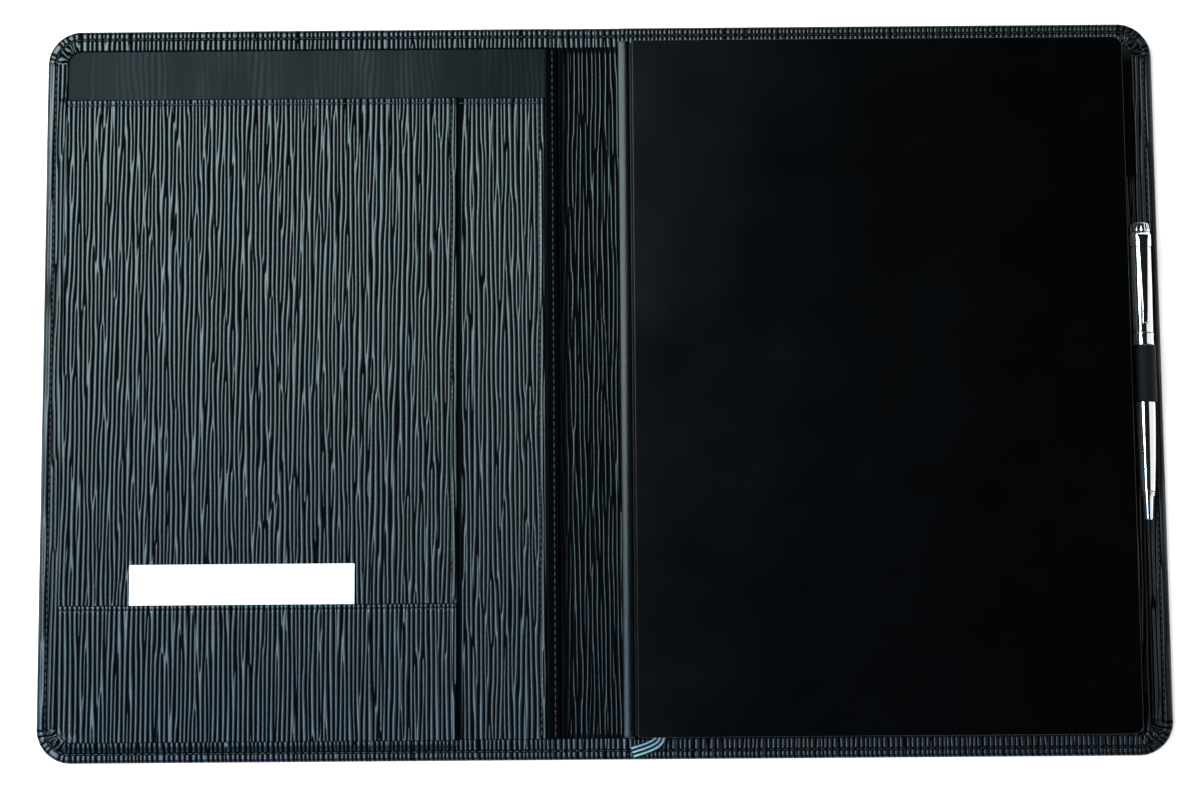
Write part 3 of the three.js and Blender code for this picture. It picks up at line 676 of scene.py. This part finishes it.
def lining(name, side, from_x, body, node):
    inset, radius = 1.6, 13.0
    beside = [from_x + e for e in (0.1, 0.3, 0.8, 1.6, 2.4, 4.2, 5.2, 6.2)]
    xs = steps(from_x, HALF_WIDTH - inset, 4.0, beside)
    ys = corner_rows(inset, radius, (0.4, 0.8, 1.1, 1.3))
    share, y = np.meshgrid((xs - from_x) / (xs[-1] - from_x), ys)
    over = np.clip(np.abs(y) - (HALF_HEIGHT - inset - radius), 0, radius)
    reach = xs[-1] - radius + np.sqrt(radius**2 - over**2)
    x = from_x + share * (reach - from_x)
    away = x - from_x
    edge_fall = 0.16 * (1 - ramp(away, 0.0, 0.7)) + 0.05 * groove(away, 1.7, 0.4)
    z = LINING_TOP - edge_fall + 0.02 * np.sin(x / 9.0) * np.sin(y / 23.0)
    upper = np.stack([side * x, y, z], -1).reshape(-1, 3)
    lower = upper.copy()
    lower[:, 2] = LINING_LOW
    edge = rim_of(*x.shape)
    after = np.roll(edge, -1)
    sides = np.stack([edge, edge + x.size, after + x.size, after], -1)
    faces = [lattice(*x.shape), sides, lattice(*x.shape, x.size)[:, ::-1]]
    if side < 0:
        faces = [f[:, ::-1] for f in faces]
    # Painted shade: full in a strip along the edge by the spine, and partial, fading out, towards the
    # middle of the cover.
    dull = np.tile(np.maximum(1 - ramp(away, 4.2, 6.2), 0.42 * (1 - ramp(x, 34.0, 115.0))).ravel(), 2)
    points = np.concatenate([upper, lower])
    made = make(name, points, faces, LINING_FINISH, body, "lining", node, dull=dull)


lining("left_lining_cloth", -1, LEFT_LINED, "left_cover", "left_lining")
lining("right_lining_cloth", 1, RIGHT_LINED, "right_cover", "right_lining")

# %% [markdown]
# The right pocket is a panel that the book's back cover slides under. It is one long section,
# swept along the cover: flat over the back cover, down beside the fore edge, and a sewn flange.

# %% Right pocket
PANEL_LEFT, WALL, FLANGE = 118.0, 227.1, 234.2
PANEL_TOP, FLANGE_TOP, PANEL_LOW = 6.8, 3.9, 3.12


def right_pocket():
    face_x = steps(PANEL_LEFT, WALL - 0.8, 0.3, [PANEL_LEFT + e for e in (0.1, 0.3, 0.6)])
    curve = np.linspace(0, 1, 8)[1:]
    bend_z = PANEL_TOP - (PANEL_TOP - FLANGE_TOP) * ramp(curve, 0.0, 1.0)
    flange_x = steps(WALL + 2.4, FLANGE + 0.4, 0.3)
    across = np.concatenate([face_x, WALL - 0.8 + 2.9 * curve, flange_x])
    face_z, flange_z = np.full(len(face_x), PANEL_TOP), np.full(len(flange_x), FLANGE_TOP)
    level = np.concatenate([face_z, bend_z, flange_z])
    under = [(FLANGE + 0.4, PANEL_LOW), (WALL + 0.6, PANEL_LOW), (WALL + 0.1, 5.8), (PANEL_LEFT, 5.95)]
    ends = np.array([0.0, 0.12, 0.3, 0.6, 1.0, 1.5, 2.0, 2.4, 2.8, 3.4])
    ys = steps(PANEL_FOOT, PANEL_HIGH, 2.8, PANEL_HIGH - ends)
    x, y = np.meshgrid(across, ys)
    ridge = right_grain(x, y)
    away = PANEL_HIGH - y
    keep = 0.45 + 0.55 * ramp(away, 0.6, 3.0)
    fall = 1 - rounding(1 - np.minimum(x - PANEL_LEFT, away) / 0.6)
    sewn = 0.2 * groove(away, HEM_SEAM, 0.35)
    z = level[None] - 0.4 * (1 - ridge) * keep - sewn - 0.55 * fall
    low_x, low_y = np.meshgrid([place[0] for place in under], ys)
    below = np.stack([low_x, low_y, np.broadcast_to([place[1] for place in under], low_x.shape)], -1)
    rings = np.concatenate([np.stack([x, y, z], -1), below], 1)[:, ::-1]
    shade = np.concatenate([ridge, np.zeros(low_x.shape)], 1)[:, ::-1]
    where = "right_cover", "grained_leather", "right_pocket"
    skin("right_pocket_hide", rings, HIDE_FINISH, *where, ridge=shade)


right_pocket()

# %% [markdown]
# The book is case-bound: two boards and a round back in one dark cloth, with a groove on each
# side of the back. Board edges are turned over, so they are rounded, and corners are eased.

# %% Book case
BOOK_END, BOOK_LEFT, BOOK_RIGHT = 150.0, 14.0, 226.8
BACK_X, BACK_Z, BACK_RADIUS = 16.3, 12.67, 8.5
BOARD_CORNERS = (1.2, 4.0, 4.0, 1.2)


def rounded(left, right, low, high, radii, inset):
    """Outline points of a rectangle with its own radius at each corner, drawn in by an inset."""
    centres = [(left, low, 1, 1), (right, low, -1, 1), (right, high, -1, -1), (left, high, 1, -1)]
    points = []
    for (x, y, sx, sy), radius, quarter in zip(centres, radii, (2, 3, 0, 1)):
        cut = max(radius - inset, 0.05)
        middle_x, middle_y = x + sx * (inset + cut), y + sy * (inset + cut)
        for a in (quarter + np.linspace(0, 1, 8)) * np.pi / 2:
            points.append((middle_x + cut * math.cos(a), middle_y + cut * math.sin(a)))
    return np.array(points)


def flat_ring(outline, z):
    """An outline in x and y, lying at one height."""
    return np.column_stack([outline, np.full(len(outline), z)])


def board(name, left, right, low_z, high_z, radii, roll, body, node=None, end=BOOK_END):
    """A board with rolled edges: rings from the middle of its underside round to its face."""
    turn = np.linspace(-np.pi / 2, np.pi / 2, 9)
    insets = roll * (1 - np.cos(turn))
    low_side, high_side = low_z + roll * (1 + np.sin(turn)), high_z - roll * (1 - np.sin(turn))
    heights = np.where(turn < 0, low_side, high_side)
    far, near = min(12.0, 0.4 * (right - left)), min(3.0, 0.3 * (right - left))
    flat = min(roll + 0.12, 0.8 * near)
    inner = [(far, low_z), (near, low_z), (flat, low_z)] + list(zip(insets, heights))
    inner += [(flat, high_z), (near, high_z), (far, high_z)]
    rings = [flat_ring(rounded(left, right, -end, end, radii, inset), z) for inset, z in inner]
    skin(name, rings, BOOK_FINISH, body, "book_cloth", node)


# Left, right, underside, face, corner radii and edge roll of each.
front = BOOK_LEFT, BOOK_RIGHT, 17.25, 19.6, BOARD_CORNERS, 0.26
back = BOOK_LEFT, BOOK_RIGHT, 3.15, 5.5, BOARD_CORNERS, 0.75
tongue = 12.95, 15.4, 18.15, 18.95, (0.4,) * 4, 0.16
board("book_front_board", *front, "book_front", "book_front_cover")
board("book_back_board", *back, "right_cover", "book_back_cover")
board("book_joint_cloth", *tongue, "book_front", end=BOOK_END - 1.0)

# %% [markdown]
# The back of the case is a curved shell of cloth and paper. One section of it is drawn with a
# formula and swept from the head to the tail, thinner at both ends, where the cloth is turned in.

# %% Book back
def upright_ring(outline, y):
    """An outline in x and z, upright at one place along the cover."""
    return np.column_stack([outline[:, 0], np.full(len(outline), y), outline[:, 1]])


def book_back():
    """The round back: a shell, flatter on top, whose two long edges roll into the grooves."""
    thin, crest = 1.4, 19.22
    angle = np.linspace(math.pi - 1.08, math.pi + 1.30, 60)

    def arc(radius, drop, stretch):
        x, z = BACK_X + radius * np.cos(angle), BACK_Z + radius * np.sin(angle)
        away = np.clip(12.4 - x, 0.0, 4.6)
        corner = 2.0 * (1 - rounding((away - 4.22) / 0.4))
        crown = crest - drop + 0.12 * away - 0.06 * away**2 - corner
        upper = np.minimum(BACK_Z + (z - BACK_Z) * stretch, crown)
        return np.column_stack([x, np.where(z > BACK_Z, upper, z)])

    def end_cap(first, last):
        """A half round from one point of the section to another."""
        middle, spoke = (first + last) / 2, (first - last) / 2
        outwards = np.array([-spoke[1], spoke[0]])
        turn = np.linspace(0, np.pi, 8)[1:-1]
        return np.array([middle + math.cos(a) * spoke - math.sin(a) * outwards for a in turn])

    outer, inner = arc(BACK_RADIUS, 0.0, 4.2), arc(BACK_RADIUS - thin, thin, 3.4)[::-1]
    caps = end_cap(outer[-1], inner[0]), end_cap(inner[-1], outer[0])
    section = np.concatenate([outer, caps[0], inner, caps[1]])
    ends = [BOOK_END - e for e in (0.02, 0.08, 0.2, 0.36, 0.55, 0.8)]
    ys = steps(-ends[0], ends[0], 7.5, ends + [-e for e in ends])
    shrink = rounding(1 - (BOOK_END - np.abs(ys)) / 0.7, 0.05)
    centre = np.array([BACK_X, BACK_Z])
    spoke = section - centre
    middle = (arc(BACK_RADIUS - thin / 2, thin / 2, 3.8) - centre)[::-1]
    way = np.arctan2(middle[:, 1], -middle[:, 0])
    reach = np.interp(np.arctan2(spoke[:, 1], -spoke[:, 0]), way, np.linalg.norm(middle, axis=1))
    core = centre + unit(spoke) * reach[:, None]
    rings = [upright_ring(core + (section - core) * s, y) for y, s in zip(ys, shrink)]
    skin("book_back_cloth", rings, BOOK_FINISH, "right_cover", "book_cloth", "book_spine")


book_back()

# %% [markdown]
# Head and tail bands are small sewn rolls in two colours. The rest of the block keeps its solid
# from the CAD model, with the edges of its leaves drawn by the material.

# %% Bands and leaves
band = Net("sewn band", Roughness=0.7)
two_colours = band.blend(band.attribute("stripe"), (0.008, 0.009, 0.010), (0.35, 0.36, 0.35))
BAND_FINISH = band.feed(Base_Color=two_colours)


def sewn_band(name, side, node):
    count, corners = 90, 12
    angle = np.radians(np.linspace(131, 222, count))
    turn = full_turn(corners)
    size = 0.62 + 0.06 * np.cos(np.arange(count) * np.pi)
    radius = 5.75 + size[:, None] * np.cos(turn)
    x = BACK_X + radius * np.cos(angle)[:, None]
    z = BACK_Z + radius * np.sin(angle)[:, None]
    y = side * (BOOK_END - 0.78) + size[:, None] * np.sin(turn) * np.ones_like(x)
    rings, stripes = np.stack([x, y, z], -1), np.repeat((np.arange(count) // 3) % 2, corners)
    skin(name, rings, BAND_FINISH, "right_cover", "woven_band", node, stripe=stripes)


sewn_band("head_band_sewn", 1, "head_band")
sewn_band("tail_band_sewn", -1, "tail_band")

KEPT_SOLIDS = {
    "upper_pages": PAPER_FINISH, "lower_pages": PAPER_FINISH, "front_endpaper": PAPER_FINISH,
    "back_endpaper": PAPER_FINISH, "card": CARD_FINISH, "left_board": BOARD_FINISH,
    "right_board": BOARD_FINISH, "pen_twist_sleeve": BRASS_FINISH, "pen_refill": STEEL_FINISH,
}
for name, finish in KEPT_SOLIDS.items():
    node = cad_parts[name]
    node.data.materials.clear()
    node.data.materials.append(finish)
print("nodes that keep their solid:", len(KEPT_SOLIDS))

# %% [markdown]
# The pen is turned metal, so each piece is a profile spun round its axis, with small radii where
# edges catch the light.

# %% Pen
PEN_X, PEN_Z, PEN_TOP, PEN_TIP = 234.0, 9.9, 69.3, -59.6
RING_LOW, RING_HIGH, CAP_LOW = 15.8, 20.8, 21.1
CONE_HIGH, CLIP_LOW, CLIP_HIGH = PEN_TIP + 12.0, PEN_TOP - 10.6, PEN_TOP - 4.2
BORE, CAP_BORE, MIDDLE, JOINT = 1.9, 3.4, 0.02, 0.3


def eased(points, size):
    """The profile's corners eased with small curves."""
    points = np.array(points, float)
    out = []
    for k in range(len(points)):
        before, here, after = points[k - 1], points[k], points[(k + 1) % len(points)]
        a, b = before - here, after - here
        la, lb = np.linalg.norm(a), np.linalg.norm(b)
        cut = min(size, la / 3, lb / 3)
        p, q = here + a / la * cut, here + b / lb * cut
        for t in np.linspace(0, 1, 4):
            out.append((1 - t) ** 2 * p + 2 * t * (1 - t) * here + t * t * q)
    return np.array(out)


def spun(name, points, body, node=None, size=0.12, corners=96, flutes=0):
    """A closed profile of (radius, place along the axis), eased, spun round the pen's axis."""
    profile = eased(points, size)
    turn = full_turn(corners)
    radius = profile[:, None, 0] * (1 - 0.045 * np.abs(np.sin(flutes * turn / 2)))
    x, z = PEN_X + radius * np.cos(turn), PEN_Z + radius * np.sin(turn)
    rings = np.stack([x, np.broadcast_to(profile[:, None, 1], x.shape), z], -1)
    last = np.arange(corners)
    nxt, far = (last + 1) % corners, (len(profile) - 1) * corners
    faces = [lattice(len(profile), corners, wrap=True), np.stack([far + last, far + nxt, nxt, last], -1)]
    made = make(name, rings, faces, CHROME_FINISH, body, "pen_chrome", node)
    made.data.set_sharp_from_angle(angle=math.radians(38))


belly_high, belly_low = RING_LOW - 22.3, CONE_HIGH + JOINT
belly = [(4.4 - 1.3 * t**1.8, belly_high - (belly_high - belly_low) * t) for t in np.linspace(1, 0, 14)]
lower_barrel = [(BORE, belly_low), *belly, (4.4, RING_LOW - JOINT), (BORE, RING_LOW - JOINT)]
nose_cone = [
    (BORE, CONE_HIGH), (0.95, PEN_TIP + 2.5), (0.95, PEN_TIP), (1.45, PEN_TIP), (1.75, PEN_TIP + 0.5),
    (2.3, CONE_HIGH - 1.8), (2.9, CONE_HIGH - 1.7), (2.9, CONE_HIGH - 0.9), (2.6, CONE_HIGH - 0.8),
    (2.6, CONE_HIGH - 0.55), (3.1, CONE_HIGH - 0.5), (3.1, CONE_HIGH),
]
centre_ring = [
    (BORE, RING_LOW), (4.8, RING_LOW), (4.8, RING_LOW + 0.5), (4.62, RING_LOW + 0.6),
    (4.62, RING_HIGH - 0.6), (4.8, RING_HIGH - 0.5), (4.8, RING_HIGH), (BORE, RING_HIGH),
]
upper_barrel = [
    (CAP_BORE, CAP_LOW), (4.5, CAP_LOW), (4.7, (CAP_LOW + CLIP_LOW) / 2), (4.7, CLIP_LOW - JOINT),
    (CAP_BORE, CLIP_LOW - JOINT),
]
finial = [
    (MIDDLE, CLIP_HIGH + JOINT), (4.4, CLIP_HIGH + JOINT), (4.5, CLIP_HIGH + 0.8),
    (3.95, PEN_TOP - 0.5), (3.3, PEN_TOP), (MIDDLE, PEN_TOP),
]
clip_ring = [
    (MIDDLE, CLIP_LOW), (4.7, CLIP_LOW), (4.9, CLIP_LOW + 0.8), (4.9, CLIP_HIGH - 1.2),
    (4.5, CLIP_HIGH), (MIDDLE, CLIP_HIGH),
]
spun("pen_lower_metal", lower_barrel, "pen", "pen_lower_barrel")
spun("pen_cone_metal", nose_cone, "pen", "pen_nose_cone", size=0.1)
spun("pen_ring_metal", centre_ring, "pen", "pen_centre_ring")
spun("pen_upper_metal", upper_barrel, "pen_cap", "pen_upper_barrel")
spun("pen_top_metal", finial, "pen_cap", "pen_finial", size=0.3, corners=180, flutes=20)
spun("pen_clip_ring", clip_ring, "pen_cap", size=0.2)

# %% [markdown]
# The clip is bent from one bar. Sections of a rounded bar follow its line from the ring to its
# bent end, and get narrower on the way. The line is smoothed, so its bends are round.

# %% Pen clip
def clip_arm():
    line = np.array([
        (64.3, 3.6), (64.2, 5.2), (63.2, 6.4), (61.2, 6.85), (57.0, 6.85), (48.0, 6.85),
        (38.0, 6.85), (30.5, 6.8), (27.6, 6.3), (26.0, 5.7), (25.2, 5.9), (24.95, 6.4),
    ])
    count = 90
    t, knots = np.linspace(0, len(line) - 1, count), np.arange(len(line))
    kernel = np.ones(7) / 7
    smoothed = (np.pad(np.interp(t, knots, column), 3, mode="edge") for column in line.T)
    y, z = (np.convolve(column, kernel, "valid") for column in smoothed)
    along = unit(np.gradient(np.column_stack([y, z]), axis=0))
    normal = np.column_stack([-along[:, 1], along[:, 0]])
    normal[normal[:, 1] < 0] *= -1
    normal = np.where(along[:, 1:] > 0.5, (1.0, 0.0), normal)
    wide = np.interp(y, [24.9, 64.5], [1.15, 2.4])
    turn = full_turn(24)
    a, b = (np.sign(v) * np.abs(v) ** 0.55 for v in (np.cos(turn), np.sin(turn)))
    rings = []
    for k in range(count):
        places = PEN_X + wide[k] * a, y[k] + 0.5 * b * normal[k, 0], PEN_Z + z[k] + 0.5 * b * normal[k, 1]
        rings.append(np.column_stack(places))
    skin("pen_clip_arm", rings, CHROME_FINISH, "pen_cap", "pen_chrome", "pen_clip")


clip_arm()

# %% [markdown]
# The pen loop is woven elastic: fine ribs run round it, and its two ends lie flat on the border,
# where they are sewn down.

# %% Pen loop
BLACK_YARN = (0.006, 0.007, 0.008)
ELASTIC_FINISH = plain(
    "elastic", (0.001, 0.0012, 0.0015), BLACK_YARN, 0.6, 9000.0, 0.00008, Specular_IOR_Level=0.2
)


def pen_loop():
    inner, thick, low, high, foot_wide, floor = 4.75, 0.55, -9.0, 15.5, 2.3, BORDER_TOP - 0.2
    ys = np.linspace(low, high, 260)
    rib = 0.07 * np.cos((ys - low) * 2 * np.pi / 0.95)
    edge = rounding(1 - np.minimum(ys - low, high - ys) / 0.3, 0.1)
    turn = np.linspace(np.radians(-62), np.radians(242), 60)
    spoke = np.column_stack([np.cos(turn), np.sin(turn)])
    foot = [(PEN_X - foot_wide, floor), (PEN_X + foot_wide, floor)]
    back = (PEN_X, PEN_Z) + inner * spoke[::-1]
    rings = []
    for y, r, e in zip(ys, rib, edge):
        out = (PEN_X, PEN_Z) + (inner + thick * e + r) * spoke
        ring = np.concatenate([out, foot, back])
        ring[:, 1] = np.maximum(ring[:, 1], floor)
        rings.append(upright_ring(ring, y))
    skin("pen_loop_elastic", rings, ELASTIC_FINISH, "right_cover", "elastic", "pen_loop")


pen_loop()

# %% [markdown]
# The ribbon marker is a free end of woven ribbon. It lies between the leaves from the head of the
# block to its tail, comes out there and lies over the border, cut off aslant.

# %% Ribbon marker
RIBBON_WIDE = 5.3


def ribbon():
    lies = 11.71
    route = np.array([
        (17.5, 148.0, lies), (18.2, 90.0, lies), (19.6, 0.0, lies), (21.4, -90.0, lies),
        (22.8, -136.0, lies), (23.1, -145.0, lies), (23.2, -149.0, lies), (23.2, -150.6, lies - 0.8),
        (22.6, -152.0, lies - 3.6), (20.8, -153.5, BORDER_TOP + 1.4), (17.4, -155.0, BORDER_TOP + 0.55),
        (11.8, -156.8, BORDER_TOP + 0.5),
    ])
    knots = np.concatenate([[2 * route[0] - route[1]], route, [2 * route[-1] - route[-2]]])
    line = []
    for k in range(1, len(knots) - 2):
        p0, p1, p2, p3 = knots[k - 1 : k + 3]
        squared, cubed = 2 * p0 - 5 * p1 + 4 * p2 - p3, 3 * p1 - p0 - 3 * p2 + p3
        for t in np.linspace(0, 1, 12 if k > 4 else 8, endpoint=False):
            line.append(0.5 * (2 * p1 + (p2 - p0) * t + squared * t * t + cubed * t**3))
    line = np.array(line + [route[-1]])
    along = unit(np.gradient(line, axis=0))
    across = -unit(np.column_stack([along[:, 1], -along[:, 0], np.zeros(len(line))]))
    thick = unit(np.cross(along, across))
    thick *= np.sign(thick[:, 2:])
    share = np.concatenate([np.linspace(-1, 1, 21), np.linspace(1, -1, 21)])
    lift = np.repeat([1.0, -1.0], 21)[:, None]
    sideways = across[:, None] * (RIBBON_WIDE / 2 * share[:, None])
    rings = line[:, None] + sideways + thick[:, None] * (0.14 * lift)
    net = Net("ribbon", Specular_IOR_Level=0.4)
    place = net.attribute("across")
    stripes = net.maths("GREATER_THAN", net.maths("COSINE", place * 9.4), 0.35)
    x, y = net.parts(net.place())[:2]
    weave = net.maths("SINE", (x + y) * 9000.0)
    striped = net.blend(stripes, BLACK_YARN, (0.40, 0.55, 0.58))
    finish = net.feed(Base_Color=striped, Roughness=0.6 + 0.1 * weave)
    net.bump(weave, 0.00008, 0.7)
    where = "right_cover", "woven_band", "ribbon_marker"
    made = skin("ribbon_woven", rings, finish, *where, across=np.tile(share, len(line)))
    tuple(line[0] * MM)
    [tuple(p * MM) for p in line]


ribbon()

# %% [markdown]
# Every seam is a row of separate stitches. One stitch is instanced along guide points by
# Geometry Nodes, and each row's points carry the direction in which it is sewn.

# %% Stitches
def stitch_nodes():
    tree = bpy.data.node_groups.new("sew", "GeometryNodeTree")
    for name, kind in (("Geometry", "Geometry"), ("Thread", "Float"), ("Finish", "Material")):
        tree.interface.new_socket(name, in_out="INPUT", socket_type="NodeSocket" + kind)
    tree.interface.new_socket("Geometry", in_out="OUTPUT", socket_type="NodeSocketGeometry")

    def add(kind, **inputs):
        """The first output of a new node, with values or links for its inputs."""
        made = tree.nodes.new(kind)
        for key, value in inputs.items():
            if isinstance(value, bpy.types.NodeSocket):
                tree.links.new(value, made.inputs[key])
            else:
                made.inputs[key].default_value = value
        return made.outputs[0] if made.outputs else None

    given = tree.nodes.new("NodeGroupInput").outputs
    bead = add("GeometryNodeMeshUVSphere", Segments=8, Rings=6, Radius=given["Thread"])
    stitch = add("GeometryNodeTransform", Geometry=bead, Scale=(4.6, 1.0, 0.85))
    aim = add("GeometryNodeInputNamedAttribute", Name="aim")
    turn = add("ShaderNodeCombineXYZ", Z=aim)
    at = {"Points": given["Geometry"], "Rotation": turn}
    sewn = add("GeometryNodeInstanceOnPoints", Instance=stitch, **at)
    real = add("GeometryNodeRealizeInstances", Geometry=sewn)
    shown = add("GeometryNodeSetMaterial", Geometry=real, Material=given["Finish"])
    add("NodeGroupOutput", Geometry=shown)
    return tree


SEW = stitch_nodes()
STITCH_PITCH, THREAD_RADIUS, IN_CORNER = 3.1, 0.00029, 6


def row(x0, y0, x1, y1, z):
    """Guide points of a straight row: place and direction. z is a level, or one worked out from x."""
    count = max(2, int(round(math.hypot(x1 - x0, y1 - y0) / STITCH_PITCH)))
    t = (np.arange(count) + 0.5) / count
    x, y = x0 + (x1 - x0) * t, y0 + (y1 - y0) * t
    aim = math.atan2(y1 - y0, x1 - x0)
    return np.column_stack([x, y, z(x) if callable(z) else np.full(count, z), np.full(count, aim)])


def bend_row(side, up, z):
    """Stitches round one corner of the border."""
    radius = CORNER - SEAM
    angle = (np.arange(IN_CORNER) + 0.5) / IN_CORNER * np.pi / 2
    x, y = side * (STRAIGHT_X + radius * np.cos(angle)), up * (STRAIGHT_Y + radius * np.sin(angle))
    aim = np.arctan2(up * np.cos(angle), -side * np.sin(angle))
    return np.column_stack([x, y, np.full(IN_CORNER, z), aim])


def sew(name, rows, body, bend=None):
    """Stitches that ride on one body, or, if a bend is given, are fixed in place on no body."""
    guide = np.concatenate(rows)
    mesh = bpy.data.meshes.new(name + "_guide")
    mesh.from_pydata((guide[:, :3] * MM).tolist(), [], [])
    layer = mesh.attributes.new("aim", "FLOAT", "POINT")
    layer.data.foreach_set("value", guide[:, 3])
    holder = show(name + "_guide", mesh)
    modifier = holder.modifiers.new("sew", "NODES")
    modifier.node_group = SEW
    sockets = {i.name: i.identifier for i in SEW.interface.items_tree if i.in_out == "INPUT"}
    modifier[sockets["Thread"]] = THREAD_RADIUS
    modifier[sockets["Finish"]] = THREAD_FINISH
    shown = holder.evaluated_get(bpy.context.evaluated_depsgraph_get())
    made_mesh = bpy.data.meshes.new_from_object(shown)
    made_mesh.shade_smooth()
    bpy.data.objects.remove(holder)
    made = show(name, made_mesh)
    if bend:
        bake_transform(made)
    else:
        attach(made, body)
    print(name, len(guide), "stitches")


SUNK, START_GAP = 0.42, 0.5
seam_top, seam_low = BORDER_TOP - SUNK, SUNK
edge_x, edge_y = HALF_WIDTH - SEAM, HALF_HEIGHT - SEAM


def border_rows(side, start):
    """The seam along a cover's border, on both faces."""
    rows = []
    for z in (seam_top, seam_low):
        for up in (-1, 1):
            rows.append(row(side * (start + START_GAP), up * edge_y, side * STRAIGHT_X, up * edge_y, z))
            rows.append(bend_row(side, up, z))
        rows.append(row(side * edge_x, -STRAIGHT_Y, side * edge_x, STRAIGHT_Y, z))
    return rows


def hem_across(left, right, top, z):
    """The seam below a pocket's upper edge."""
    return row(left, top - HEM_SEAM, right, top - HEM_SEAM, z)


def hem_up(right, z):
    """The seam beside a pocket's right edge."""
    return row(right - HEM_SEAM, 1.0 - INNER_Y, right - HEM_SEAM, POCKET_TOP - 3.0, z)


front_z, rear_z = FRONT_FACE - 0.2, REAR_FACE - 0.2
left_rows = border_rows(-1, LEFT_START) + [
    hem_across(0.5 - INNER_X, FRONT_RIGHT - 2.0, POCKET_TOP, front_z), hem_up(FRONT_RIGHT, front_z),
    hem_across(FRONT_RIGHT + 0.5, REAR_RIGHT - 2.0, POCKET_TOP, rear_z), hem_up(REAR_RIGHT, rear_z),
    hem_across(0.5 - INNER_X, FRONT_RIGHT - 2.0, CARD_TOP, CARD_FACE - 1.0),
    row(LINING_SEAM, 0.5 - INNER_Y, LINING_SEAM, INNER_Y - 0.5, LINING_TOP + 0.02),
]
sew("left_stitches", left_rows, "left_cover")
right_rows = border_rows(1, RIGHT_START) + [hem_across(PANEL_LEFT + 1.0, WALL - 1.0, PANEL_HIGH, 6.55)]
sew("right_stitches", right_rows, "right_cover")
for name, body, far, bend in (
    ("spine_left_stitches", "left_cover", LEFT_END, LEFT_BLEND),
    ("spine_right_stitches", "right_cover", RIGHT_END, RIGHT_BLEND),
):
    levels = (lambda x: spine_thickness(x) - SUNK, seam_low)
    rows = [row(SPINE_MIDDLE, up * edge_y, far, up * edge_y, z) for up in (-1, 1) for z in levels]
    sew(name, rows, body, bend)

# %% [markdown]
# Large soft lamps at the upper left draw the ridges, as in the photograph. A weak one at the right
# is only mirrored, for the pen. The floor is pale and keeps the shadow, and the room is white.

# %% Lights, floor and backdrop
def lamp(name, place, size, power, colour, aim):
    data = bpy.data.lights.new(name, "AREA")
    data.shape = "RECTANGLE"
    data.size, data.size_y = size
    data.energy = power
    data.color = colour
    made = show(name, data)
    made.location = place
    made.rotation_euler = (Vector(aim) - Vector(place)).to_track_quat("-Z", "Y").to_euler()
    return made


lamp("key", (-0.69, 0.42, 1.12), (0.75, 1.0), 23.5, (0.77, 1.0, 1.04), (-0.1, 0.05, 0.0))
lamp("low", (-1.25, 0.1, 0.42), (0.35, 1.0), 2.5, (0.72, 1.0, 1.05), (0.0, 0.0, 0.0))
lamp("fill", (-0.60, -0.46, 1.16), (0.7, 0.55), 12.0, (0.58, 0.86, 1.25), (-0.1, -0.1, 0.0))
mirrored_lamp = lamp("side", (1.0, 0.05, 0.42), (0.7, 0.9), 2.0, (1.0, 0.98, 0.95), (0.2, 0.0, 0.0))
mirrored_lamp.visible_diffuse = False

world = bpy.data.worlds.new("room")
bpy.context.scene.world = world
world.use_nodes = True
tree = world.node_tree
background = tree.nodes["Background"]
path = tree.nodes.new("ShaderNodeLightPath")
seen = tree.nodes.new("ShaderNodeMix")
seen.data_type = "FLOAT"
seen.inputs[2].default_value = 0.01
seen.inputs[3].default_value = 1.0
tree.links.new(path.outputs["Is Camera Ray"], seen.inputs[0])
tree.links.new(seen.outputs[0], background.inputs["Strength"])
background.inputs["Color"].default_value = (1.0, 1.0, 1.0, 1.0)

FLOOR_REACH, FLOOR_Z = 3, -0.0002
floor_mesh = bpy.data.meshes.new("floor")
corners = [(x * FLOOR_REACH, y * FLOOR_REACH, FLOOR_Z) for x, y in ((-1, -1), (1, -1), (1, 1), (-1, 1))]
floor_mesh.from_pydata(corners, [], [(0, 1, 2, 3)])
floor = show("floor", floor_mesh)
floor_net = Net("floor", Roughness=0.9, Specular_IOR_Level=0.0)
direct = floor_net.node("LightPath", "Is Camera Ray")
mirrored = floor_net.node("LightPath", "Is Glossy Ray")
floor_net.shader.inputs["Emission Strength"].default_value = 1.0
seen_bare = floor_net.maths("MAXIMUM", direct, mirrored)
glow = floor_net.blend(seen_bare, (0.0, 0.0, 0.0), (0.7, 0.7, 0.7))
floor_net.feed(Base_Color=(0.95, 0.76, 0.72, 1.0), Emission_Color=glow)
floor_mesh.materials.append(floor_net.material)
print("lamps", len(bpy.data.lights))
